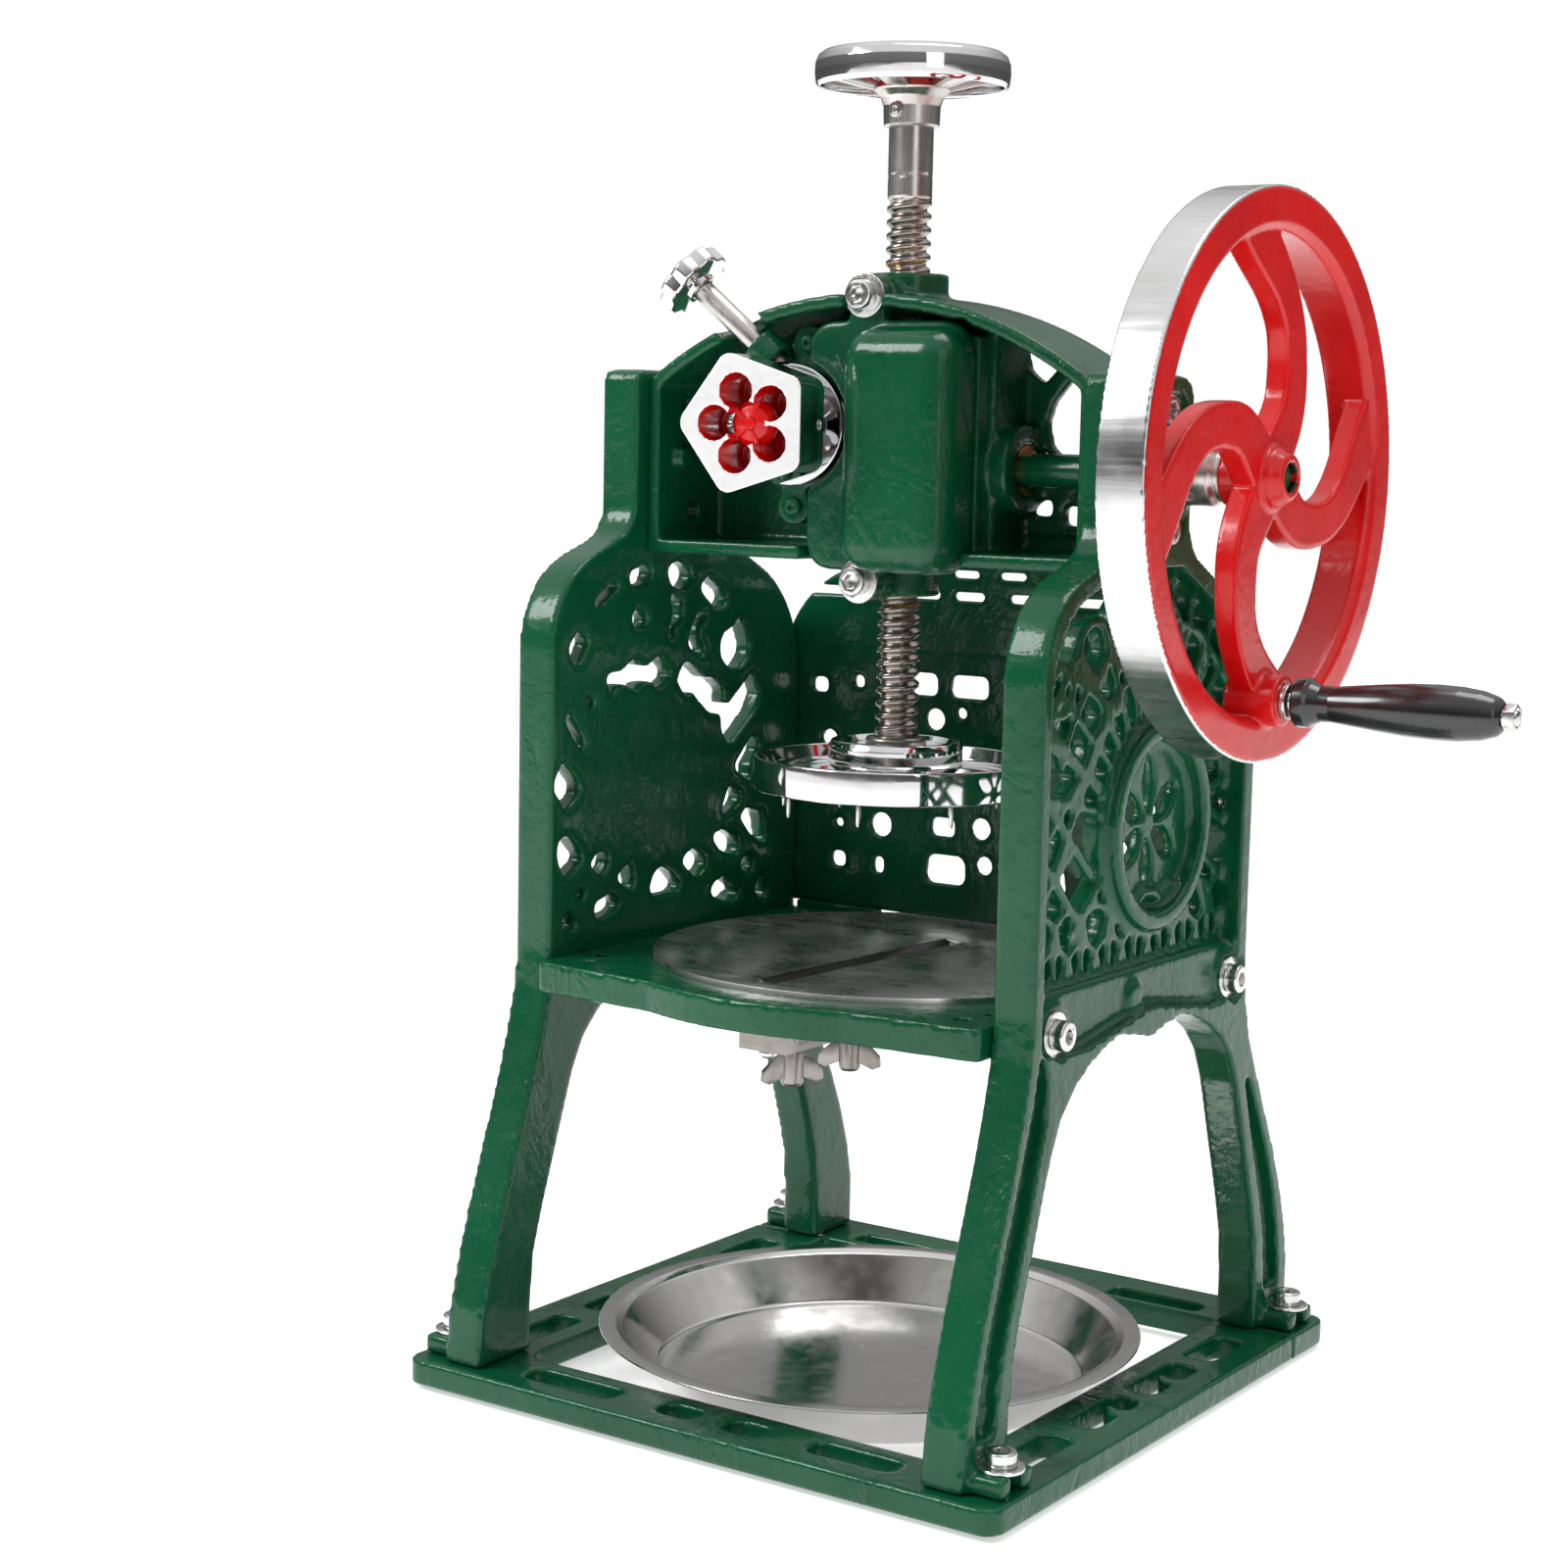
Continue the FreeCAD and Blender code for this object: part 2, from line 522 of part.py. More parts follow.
def spot_faced(frame, sx):
    """Room for the washers and screw heads."""
    tools = [cylinder(10.3, (sx * 144, sy * 136, TOP + 9), (0, 0, 1), 12) for sy in (-1, 1)]
    tools += [cylinder(10.3, (sx * APRON, sy * 81.6, 190), (sx, 0, 0), 14) for sy in (-1, 1)]
    tools += [cylinder(10.3, (sx * (IN + THICK - 1.5), y, z), (sx, 0, 0), 14) for y, z in ((-14, 447), (-9, 397))]
    return frame.cut(tools)


# left frame: a pierced panel round a plain disc
left = frame_blank(-1)
left = left.cut([plate(outline([(p[0], p[1], 2.2) for p in hole]), IN - 2, OUT) for hole in LEFT_OPENINGS])
left = left.fuse(cylinder(21, (-25, 270, IN + 1), (0, 0, 1), 12.5))
casting("left_side_frame", one_solid(spot_faced(side(one_solid(left), -1), -1)))

# right frame: a ring with a six-petal rosette, fish scales and scrolls between the rims
right = frame_blank(1)
W0, W1 = IN, IN + num(d.frame_web)
CY, CZ = 14, 267
field = plate(outline(WEB), W0 - 1, W1 + 1)
bars = [arc_band(CY, CZ, 38, 50, W0, W1), arc_band(CY, CZ, 68, 72, W0, W1, 8, 172), arc_band(CY, CZ, 88, 92, W0, W1, 20, 160)]
for y in range(-96, 97, 24):
    bars.append(arc_band(y, 207, 13.5, 17.5, W0, W1, 0, 180))
    bars.append(arc_band(y + 12, 222, 13.5, 17.5, W0, W1, 0, 180))
    bars.append(strip((y, 205), (y, 222), 4, W0, W1))
for k in range(14):
    a = math.radians(12 + 12 * k)
    bars.append(strip((CY + 49 * math.cos(a), CZ + 49 * math.sin(a)), (CY + 108 * math.cos(a), CZ + 108 * math.sin(a)),
                      4.2 if k % 2 else 5, W0, W1))
for a, b in (((-99, 300), (-40, 250)), ((-99, 328), (-34, 285)), ((-99, 352), (-20, 318)), ((-99, 275), (-55, 235)),
             ((-99, 255), (-45, 300)), ((-85, 240), (-20, 330)), ((-99, 300), (-60, 345)), ((-60, 226), (-28, 250)),
             ((-99, 236), (-60, 262)), ((62, 250), (86, 236)), ((64, 270), (86, 262)), ((58, 240), (70, 222))):
    bars.append(strip(a, b, 5, W0, W1))
for cy, cz, r0, r1 in ((20, 350, 12, 16), (48, 338, 11, 15), (-15, 352, 13, 17), (-45, 345, 11, 15), (-72, 330, 8, 12)):
    bars.append(arc_band(cy, cz, r0, r1, W0, W1))
net = bars[0].fuse(bars[1:]).common(field)
ringband = arc_band(CY, CZ, 38, 46, W0, APRON)
disc = cylinder(38.5, (CY, CZ, IN), (0, 0, 1), 7)
petals = []
for k in range(6):
    a = math.radians(60 * k + 30)
    petal = smooth([(6, 0), (14, 5.2), (24, 4.6), (31, 0), (24, -4.6), (14, -5.2)])
    petal.rotate(V(0, 0, 0), V(0, 0, 1), 60 * k + 30)
    petal.translate(V(CY, CZ, 0))
    petals.append(plate(petal, IN - 2, IN + 12))
disc = disc.cut(petals)
right = right.cut(plate(outline([(p[0], p[1], p[2]) for p in WEB]), IN - 2, OUT + 2).cut(
    plate(outline([(-97, 206), (-97, 210), (83, 210), (83, 206)]), IN - 3, OUT + 3)))
right = right.fuse([net, ringband, disc])
casting("right_side_frame", one_solid(spot_faced(side(one_solid(right), 1), 1)))

# --- back panel, pierced, screwed to the rear rims
shoulder = [(-128, 197.8), (128, 197.8), (128, 352, 58), (47, 385.5, 10), (-47, 385.5, 10), (-128, 352, 58)]
PANEL_Y = 92.2
panel = plate(outline(shoulder), 0, 4)
half = [("c", -98, 282, 4.5), ("c", -36, 296, 5.3), ("c", -66, 241, 6), ("c", -8.5, 244, 5.3),
        ("q", -104, 309, 9, 7.5), ("q", -81, 312, 6, 6), ("q", -43, 313, 16, 11), ("q", -17, 313, 22, 11),
        ("q", -21, 300, 5.5, 5), ("q", -91, 240, 5, 4), ("q", -30, 243, 14, 9), ("q", -91, 221.5, 8.3, 7.7),
        ("q", -67, 220.5, 5.8, 8), ("q", -28, 222, 23, 14), ("c", -6, 226, 4.5), ("q", -60, 283, 12, 9),
        ("c", -81, 262, 4.8), ("q", -46, 262, 9, 7), ("c", -16, 276, 4.6)]
cuts = []
for s in (1, -1):
    for item in half:
        if item[0] == "c":
            cuts.append(cylinder(item[3], (s * item[1], item[2], -1), (0, 0, 1), 6))
        else:
            _, cx, cz, w, t = item
            r = min(w, t) * 0.3
            cx *= s
            cuts.append(plate(outline([(cx - w / 2, cz - t / 2, r), (cx + w / 2, cz - t / 2, r),
                                       (cx + w * 0.46, cz + t / 2, r), (cx - w * 0.44, cz + t / 2, r)]), -1, 5))
for x0, x1 in ((-113, -75), (-65, -35), (-27, -10), (4, 30), (40, 70), (80, 108)):
    cuts.append(plate(outline([(x0, 355, 1.8), (x1, 355, 1.8), (x1, 359, 1.8), (x0, 359, 1.8)]), -1, 5))
for x0, x1 in ((-100, -78), (-68, -42), (-28, -13), (-2, 13), (28, 48), (60, 88)):
    cuts.append(plate(outline([(x0, 366, 1.6), (x1, 366, 1.6), (x1, 369.6, 1.6), (x0, 369.6, 1.6)]), -1, 5))
for x0, x1 in ((-62, -40), (-30, -8), (2, 24), (34, 58)):
    cuts.append(plate(outline([(x0, 376, 1), (x1, 376, 1), (x1, 378.5, 1), (x0, 378.5, 1)]), -1, 5))
for x0, x1 in ((-104, -38), (-30, 34), (42, 104)):
    cuts.append(plate(outline([(x0, 329, 0.9), (x1, 329, 0.9), (x1, 331, 0.9), (x0, 331, 0.9)]), -1, 5))
for s in (-1, 1):
    for z in (215, 270, 325):
        cuts.append(cylinder(2.7, (s * 122.5, z, -1), (0, 0, 1), 6))
panel = one_solid(upright(panel.cut(cuts)))
panel.translate(V(0, PANEL_Y + 4, 0))
casting("back_panel", panel)

screw = turned("pan_screw", [(0, -10), (num(d.small_shank) - 0.05, -10), (num(d.small_shank) - 0.05, 0),
                             (d.small_head, 0), (d.small_head, d.small_head_high - 1.2),
                             (d.small_head - 1.4, d.small_head_high), (1.3, d.small_head_high),
                             (1.3, d.small_head_high - 1.5), (0, d.small_head_high - 1.5)])
group("back_panel_screws", screw, [axis_place((s * 122.5, PANEL_Y + 4.02, z), (0, 1, 0)) for s in (-1, 1) for z in (215, 270, 325)])

# --- table between the side frames, with a seat for the round blade plate
TT = num(d.table_top)
T0 = TT - num(d.table_thick)
TH = num(d.table_half)
front_edge = []
for k in range(-6, 7):
    x = 50 * k / 6.0
    front_edge.append((x, -math.sqrt(130.0 ** 2 - x ** 2)))
table = plate(outline([(-TH, 90), (-TH, -115.5, 3)] + front_edge + [(TH, -115.5, 3), (TH, 90)]), T0, TT)
bars_cut = [cylinder(num(d.plate_radius) + 0.15, (0, 0, TT - 3.6), (0, 0, 1), 10), cylinder(101, (0, 0, T0 - 1), (0, 0, 1), 40)]
for x, y, r in ((-99, -100, 3.8), (-104, -84, 3.0), (99, -100, 3.8), (104, -84, 3.0), (-100, 78, 3.8), (100, 78, 3.8)):
    bars_cut.append(cylinder(r, (x, y, T0 - 1), (0, 0, 1), 20))
for s in (-1, 1):
    for y in (-81.6, 81.6):
        bars_cut.append(cylinder(3.9, (s * 120, y, 190), (-s, 0, 0), 14.5))
table = table.cut(bars_cut)
# two cast ribs carry the blade gear under the plate
table = table.fuse([block(-30, 34, -104, -97, T0, TT - 9.9), block(-82, 82, 60, 68, T0, TT - 9.9)])
casting("table_casting", one_solid(table))

# --- round blade plate with the slot for the blade
PT = num(d.plate_top)
SLOT_A, SLOT_B = (-3.0, -98.0), (7.0, 44.0)
sx_, sy_ = SLOT_B[0] - SLOT_A[0], SLOT_B[1] - SLOT_A[1]
SL = math.hypot(sx_, sy_)
SLOT_ANGLE = math.degrees(math.atan2(sy_, sx_)) - 90      # turn of local Y onto the slot
SLOT_MID = ((SLOT_A[0] + SLOT_B[0]) / 2, (SLOT_A[1] + SLOT_B[1]) / 2)
body = new_body("blade_plate")
pad(body, "plate_disc", d.table_top - 3.5, d.plate_top, circles=[(d.plate_radius,)])
pocket(body, "blade_slot", d.plate_top + 1, 12, polygons=[
    [(-3 - 6, -98), (-3 + 6, -98), (7 + 6, 44), (7 - 6, 44)]])
node("blade_plate", body)

# --- blade on its carrier, lifted by two thumb screws under the plate
blade = block(-4.2, 4.2, -SL / 2 + 1.5, SL / 2 - 1.5, PT - 9.2, PT - 3.2)
edge = plate(outline([(-4.2, PT - 3.2), (4.2, PT - 3.2), (4.2, PT - 2.4), (-3.2, PT + 0.55), (-4.2, PT + 0.55)]), 0, SL - 3)
edge.Placement = FreeCAD.Placement(V(0, SL / 2 - 1.5, 0), FreeCAD.Rotation(V(1, 0, 0), 90))
blade = blade.fuse(edge)
SCREW_Y = (-50, -8)
for y in SCREW_Y:
    blade = blade.fuse(block(-4.2, 4.2, y - 9, y + 9, PT - 15.5, PT - 9.2))
    blade = blade.cut(cylinder(2.56, (0, y, PT - 40), (0, 0, 1), 34))
blade.Placement = FreeCAD.Placement(V(SLOT_MID[0], SLOT_MID[1], 0), FreeCAD.Rotation(V(0, 0, 1), SLOT_ANGLE))
casting("blade", one_solid(blade))

# bracket: a strap under the plate from rib to rib, the thumb screws turn in it
def slot_point(y):
    """Point of the slot's centre line, y millimetres behind its middle."""
    return SLOT_MID[0] + y * sx_ / SL, SLOT_MID[1] + y * sy_ / SL


STRAP = 168.5
bracket = block(-10, 15, -106, 69, STRAP, STRAP + 4)
bracket = bracket.fuse([block(-10, 15, -106, -97, STRAP, T0 - 0.02), block(-10, 15, 60, 69, STRAP, T0 - 0.02)])
for y in SCREW_Y:
    x, yy = slot_point(y)
    bracket = bracket.fuse(cylinder(8, (x, yy, STRAP - 1.5), (0, 0, 1), 6.5)).cut(cylinder(2.57, (x, yy, 150), (0, 0, 1), 30))
spots = [(2.5, -101.5), (2.5, 64.5)]
for x, y in spots:
    bracket = bracket.cut(cylinder(2.6, (x, y, 160), (0, 0, 1), 30))
casting("blade_bracket", one_solid(bracket))
group("bracket_screws", screw, [axis_place((x, y, STRAP - 0.02), (0, 0, -1)) for x, y in spots])

# thumb screw: shank, collar above the strap, winged head below
thumb = new_body("thumb_screw")
turned("thumb_screw", [(0, 148), (4, 148), (5, 149.5), (5, 163), (4, 166.8), (2.5, 166.8), (2.5, STRAP + 5.1),
                       (4.8, STRAP + 5.1), (4.8, STRAP + 8), (2.5, STRAP + 8), (2.5, 187.4), (0, 187.4)], body=thumb)
sk = new_sketch(thumb, "thumb_wing_sketch", "XZ_Plane")
draw(sk, [(-4, 152), (4, 152), (11, 149), (14.5, 150.5), (14, 155), (9, 160), (4, 162), (-4, 162), (-9, 160),
          (-14, 155), (-14.5, 150.5), (-11, 149)])
wing = thumb.newObject("PartDesign::Pad", "thumb_wing")
wing.Profile = sk
wing.Length = 3
wing.Midplane = True
for name, y, turn in (("blade_screw_left", SCREW_Y[0], 55), ("blade_screw_right", SCREW_Y[1], 20)):
    x, yy = slot_point(y)
    group(name, thumb, [at(x, yy, 0, angle=turn)])

# --- washers and socket head screws
washer = turned("washer_8", [(num(d.bolt_shank) + 0.35, 0), (10, 0), (10, num(d.washer_thick) - 0.3),
                             (9.7, d.washer_thick), (num(d.bolt_shank) + 0.35, d.washer_thick)])


def cap_screw(name, shank):
    body = turned(name, [(0, -shank), (d.bolt_shank, -shank), (d.bolt_shank, 0), (d.bolt_head, 0),
                         (d.bolt_head, d.bolt_head_high - 0.6), (d.bolt_head - 0.6, d.bolt_head_high),
                         (0, d.bolt_head_high)])
    pocket(body, name + "_socket", d.bolt_head_high, 3.5, polygons=[hexagon(d.bolt_hex)])
    return body


WT = num(d.washer_thick)
short, long_ = cap_screw("cap_screw_short", 19), cap_screw("cap_screw_long", 23)
LUG = TOP + 9
group("foot_washers", washer, [at(sx * 144, sy * 136, LUG + 0.02) for sx in (-1, 1) for sy in (-1, 1)])
group("foot_bolts", short, [at(sx * 144, sy * 136, LUG + WT + 0.04, angle=12 * sy + 20 * sx) for sx in (-1, 1) for sy in (-1, 1)])
group("table_washers", washer, [axis_place((sx * (APRON + 0.02), sy * 81.6, 190), (sx, 0, 0)) for sx in (-1, 1) for sy in (-1, 1)])
group("table_bolts", long_, [axis_place((sx * (APRON + WT + 0.04), sy * 81.6, 190), (sx, 0, 0), 17 * sy + 9) for sx in (-1, 1) for sy in (-1, 1)])
NECK_PAD = IN + THICK - 1.5
neck_spots = [(sx, y, z) for sx in (-1, 1) for y, z in ((-14, 447), (-9, 397))]
group("bridge_washers", washer, [axis_place((sx * (NECK_PAD + 0.02), y, z), (sx, 0, 0)) for sx, y, z in neck_spots])
group("bridge_bolts", long_, [axis_place((sx * (NECK_PAD + WT + 0.04), y, z), (sx, 0, 0), y) for sx, y, z in neck_spots])


# ================================================================ head castings

TILT = math.radians(num(d.feed_tilt))
FA = (math.sin(TILT), -math.cos(TILT), 0.0)           # along the feed shaft, outwards
FB = (math.cos(TILT), math.sin(TILT), 0.0)            # across it, to the right
FO = (num(d.feed_x), num(d.feed_y), num(d.nut_height))
# feed frame: x across, y up, z along the shaft
FEED = FreeCAD.Placement(FreeCAD.Matrix(FB[0], 0, FA[0], FO[0], FB[1], 0, FA[1], FO[1], 0, 1, 0, FO[2], 0, 0, 0, 1))


def feed(shape):
    out = shape.copy()
    out.Placement = FEED.multiply(out.Placement)
    return out


# brake screw axis in the feed frame
BK_END = (-16.6, 35.5, 24.5)
BK_DIR = (-0.76, 0.65, 0.0)
BK_CONTACT = 13.46


def brake_point(q):
    return tuple(BK_END[i] + q * BK_DIR[i] for i in range(3))


ARCH_R, ARCH_Z = 195.0, 301.0
BX = IN - 0.02
arch_solid = cylinder(ARCH_R, (0, -38, ARCH_Z), (0, 1, 0), 54).common(block(-BX, BX, -38, 16, 378, 520))
inner = cylinder(ARCH_R - 6, (0, -40, ARCH_Z), (0, 1, 0), 50).common(block(-110, 110, -40, 10, 384, 520))
bridge = arch_solid.cut(inner)
# openings in the right-hand pocket of the rear web, kept clear by an S-shaped bar
web_cuts = [[(55, 477, 2), (66, 472, 2), (73.5, 466, 2), (66, 458, 2), (58, 464, 2)],
            [(85, 467, 2), (99, 457, 3), (105, 440, 3), (103, 420, 3), (92, 412, 3), (82, 420, 3), (70, 431, 3),
             (68, 441, 3), (71, 450, 3), (78, 458, 3)],
            [(60, 444, 2), (64, 434, 2), (74, 420, 3), (66, 415, 3), (60, 424, 2)],
            [(59, 400, 2), (72, 400, 2), (72, 407, 2), (59, 407, 2)],
            [(78, 396, 2), (102, 396, 2), (102, 403, 2), (78, 405, 2)],
            [(59, 388, 1), (104, 388, 1), (104, 391, 1), (59, 391, 1)]]
web_tools = [upright(plate(outline(w), -20, -5)) for w in web_cuts]
bridge = bridge.cut(web_tools)
CL, CH = num(d.case_low), num(d.case_high)
case = block(-30, 54, -26, 14.5, CL, CH)
case = case.fuse([cylinder(30, (0, 0, CL), (0, 0, 1), CH - CL), cylinder(18.5, (0, 0, 470), (0, 0, 1), 36),
                  cylinder(18, (0, 0, 362), (0, 0, 1), 24), cylinder(20, (48, 0, CRANK_Z), (1, 0, 0), 17),
                  block(50, 57, -16, 12, 380, 484)])
bridge = bridge.fuse(case)
chamber = cylinder(29, (0, 0, -20), (0, 0, 1), 33.9)
CAP_ANGLES = (-90, 80, 180)
cap_spots = [(37 * math.cos(math.radians(q)), 37 * math.sin(math.radians(q))) for q in CAP_ANGLES]
chamber = chamber.fuse([cylinder(8, (x, y, -6), (0, 0, 1), 19.9) for x, y in cap_spots])
for x, y in cap_spots:
    chamber = chamber.fuse(strip((x * 0.6, y * 0.6), (x, y), 12, -6, 13.9))
bridge = bridge.fuse(feed(chamber))
# small pin head on the left flange and the pads behind the cover lugs
bridge = bridge.fuse([cylinder(5, (-110.5, -22, 422), (1, 0, 0), 5.5), cylinder(9, (0, -26, 369.5), (0, 1, 0), 14),
                      cylinder(9, (0, -26, 495), (0, 1, 0), 14)])
cavity = block(-25, 49, -27, 7, 386, 470).fuse(cylinder(26, (0, 0, 386), (0, 0, 1), 84))
shelf = block(-29, 13.5, -16, 28, 426, 432.5).common(cylinder(29, (0, 0, 420), (0, 0, 1), 20))
cavity = cavity.cut(shelf)
bores = [cavity, feed(cylinder(25.5, (0, 0, -15.5), (0, 0, 1), 30)), feed(cylinder(31.6, (0, 0, 13.9), (0, 0, 1), 40)),
         feed(cylinder(10.02, (0, 0, -30), (0, 0, 1), 30)),
         cylinder(14.02, (0, 0, 350), (0, 0, 1), 40), cylinder(14.02, (0, 0, 465), (0, 0, 1), 50),
         cylinder(10.4, (0, 0, 420), (0, 0, 1), 20), cylinder(11.02, (45, 0, CRANK_Z), (1, 0, 0), 20),
         cylinder(3.9, (0, -30, 369.5), (0, 1, 0), 16), cylinder(3.9, (0, -30, 495), (0, 1, 0), 16)]
for x, y in cap_spots:
    bores.append(feed(cylinder(2.55, (x, y, 0), (0, 0, 1), 20)))
    bores.append(feed(cylinder(8.4, (x, y, 13.9), (0, 0, 1), 30)))
bores.append(feed(cylinder(10.6, brake_point(-16), BK_DIR, 90)))
for sx, y, z in neck_spots:
    bores.append(cylinder(4.05, (sx * 108, y, z), (sx, 0, 0), 10))
bores.append(cylinder(8.2, (100, 0, CRANK_Z), (1, 0, 0), 20))
bores.append(cylinder(11.8, (10, 0, CRANK_Z), (1, 0, 0), 36))
# seat of the gear case cover: nothing stands in front of it
bores += [block(-30.4, 54.0, -45, -26, 362, 484.5), cylinder(10.4, (0, -45, 369.5), (0, 1, 0), 19),
          cylinder(10.4, (0, -45, 495), (0, 1, 0), 19)]
bridge = bridge.cut(bores)
casting("top_bridge", one_solid(bridge))

# --- gear case cover: flange with two lugs, a rounded barrel in front
COVER_Y = -26
flange = upright(plate(outline([(-30, CL - 4, 12), (52, CL - 4, 12), (52, CH + 6, 12), (-30, CH + 6, 12)]), 26.02, 34))
lugs = [cylinder(9, (0, -34, 369.5), (0, 1, 0), 7.98), cylinder(9, (0, -34, 495), (0, 1, 0), 7.98),
        block(-9, 9, -34, -26.02, 369.5, 380), block(-9, 9, -34, -26.02, 480, 495)]
barrel = block(-3, 53.5, -54, -28, CL - 4, CH + 2)
rounds = [e for e in barrel.Edges if min(v.Point.y for v in e.Vertexes) < -53.9 or
          (abs(e.Vertexes[0].Point.y - e.Vertexes[1].Point.y) > 1)]
barrel = barrel.makeFillet(12.5, rounds)
cover = flange.fuse(lugs + [barrel])
hollow = block(2, 48.5, -48, -20, CL + 8, CH - 8)
edges = [e for e in hollow.Edges if min(v.Point.y for v in e.Vertexes) < -47.9 or
         (abs(e.Vertexes[0].Point.y - e.Vertexes[1].Point.y) > 1)]
hollow = hollow.makeFillet(8, edges)
cover = cover.cut([hollow, block(-24, 46, -30, -20, CL + 10, CH - 10), feed(cylinder(29.8, (0, 0, 12), (0, 0, 1), 30)),
                   feed(cylinder(33.8, (0, 0, 41.8), (0, 0, 1), 60)),
                   feed(cylinder(10.6, brake_point(-16), BK_DIR, 90)),
                   cylinder(4.3, (0, -40, 369.5), (0, 1, 0), 20), cylinder(4.3, (0, -40, 495), (0, 1, 0), 20),
                   cylinder(10.2, (0, -54, 369.5), (0, 1, 0), 20), cylinder(10.2, (0, -54, 495), (0, 1, 0), 20)])
casting("gear_case_cover", one_solid(cover))
cover_spots = [(0, -34.02, 369.5), (0, -34.02, 495)]
group("cover_washers", washer, [axis_place(p, (0, -1, 0)) for p in cover_spots])
group("cover_bolts", short, [axis_place((p[0], p[1] - WT - 0.02, p[2]), (0, -1, 0), 14 * i) for i, p in enumerate(cover_spots)])

# --- feed cap: bearing cap with three lugs and the brake boss
cap = cylinder(29, (0, 0, 14), (0, 0, 1), 6)
cap = cap.fuse([cylinder(8, (x, y, 14), (0, 0, 1), 6) for x, y in cap_spots])
for x, y in cap_spots:
    cap = cap.fuse(strip((x * 0.6, y * 0.6), (x, y), 12, 14, 20))
boss = cylinder(9, brake_point(-12), BK_DIR, 12).fuse(cylinder(9, (-12, 30.5, 14), (0, 0, 1), 10.5))
boss = boss.cut(cylinder(28.3, (0, 0, 20.3), (0, 0, 1), 60))
cap = cap.fuse(boss)
cap = cap.cut([cylinder(10.52, (0, 0, 10), (0, 0, 1), 20), cylinder(num(d.brake_bore), brake_point(-30), BK_DIR, 60),
               cylinder(5.6, brake_point(-30), BK_DIR, 18.5)])
for x, y in cap_spots:
    cap = cap.cut(cylinder(2.7, (x, y, 10), (0, 0, 1), 20))
casting("feed_cap", one_solid(feed(one_solid(cap)).cut(cylinder(25.2, (0, 0, 430), (0, 0, 1), 40))))
group("feed_cap_bolts", screw, [FEED.multiply(at(x, y, 20.02)) for x, y in cap_spots])

# ================================================================ bushes

neck_bush = turned("neck_bush", [(d.crank_bore, IN + 0.05), (11.98, IN + 0.05), (11.98, OUT + 1.3), (13.5, OUT + 1.3),
                                 (13.5, OUT + 2.6), (d.crank_bore, OUT + 2.6)], axis_place((0, 0, CRANK_Z), (1, 0, 0)))
case_bush = turned("case_bush", [(d.crank_bore, 48.5), (11, 48.5), (11, 64.6), (d.crank_bore, 64.6)],
                   axis_place((0, 0, CRANK_Z), (1, 0, 0)))
comp = doc.addObject("Part::Compound", "crank_bushes")
comp.Links = [neck_bush, case_bush]
node("crank_bushes", comp)
low_bush = turned("low_bush", [(d.screw_bore, 362), (14, 362), (14, 386.02), (17, 386.02), (17, d.gear_back - 0.03),
                               (d.screw_bore, d.gear_back - 0.03)])
top_bush = turned("top_bush", [(d.screw_bore, 470.02), (14, 470.02), (14, 506), (d.screw_bore, 506)])
comp = doc.addObject("Part::Compound", "spindle_bushes")
comp.Links = [low_bush, top_bush]
node("spindle_bushes", comp)
rings = [turned("ring_low", [(10.3, 432.52), (15, 432.52), (15, 433.23), (10.3, 433.23)]),
         turned("ring_top", [(10.3, 468.02), (15, 468.02), (15, 469.98), (10.3, 469.98)])]
comp = doc.addObject("Part::Compound", "nut_thrust_rings")
comp.Links = rings
node("nut_thrust_rings", comp)
back_bush = turned("back_bush", [(d.feed_bore, -20), (10, -20), (10, -15.5), (d.feed_bore, -15.5)], FEED)
front_bush = turned("front_bush", [(d.feed_bore, 14), (10.5, 14), (10.5, 20.4), (d.feed_bore, 20.4)], FEED)
comp = doc.addObject("Part::Compound", "feed_shaft_bushes")
comp.Links = [back_bush, front_bush]
node("feed_shaft_bushes", comp)


# ================================================================ gears

def involute(angle):
    return math.tan(angle) - angle


def gear_points(teeth, pitch_r, tip_r, root_r, pressure, half_tooth, steps=5):
    """Closed outline of a spur section; half_tooth is half the tooth's angle at the pitch radius."""
    base_r = pitch_r * math.cos(pressure)
    low = max(base_r, root_r) + 1e-4
    flank = []
    for k in range(steps):
        r = low + (tip_r - low) * k / (steps - 1)
        flank.append((r, half_tooth + involute(pressure) - involute(math.acos(min(1.0, base_r / r)))))
    if root_r < low - 0.05:
        flank.insert(0, (root_r, flank[0][1]))
    pts = []
    for i in range(teeth):
        c = 2 * math.pi * i / teeth
        pts += [(r, c - t) for r, t in flank] + [(r, c + t) for r, t in reversed(flank)]
    return pts


def helical_gear(teeth, pitch_r, add, ded, pressure, half_tooth, low, high, mid, lead, phase):
    """Helical gear along Z: the section at height z is turned by (z - mid) / lead."""
    pts = gear_points(teeth, pitch_r, pitch_r + add, pitch_r - ded, pressure, half_tooth)
    wires = []
    for k in range(6):
        z = low + (high - low) * k / 5.0
        turn = phase + (z - mid) / lead
        ring_pts = [V(r * math.cos(t + turn), r * math.sin(t + turn), z) for r, t in pts]
        wires.append(Part.makePolygon(ring_pts + [ring_pts[0]]))
    return Part.makeLoft(wires, True, True)


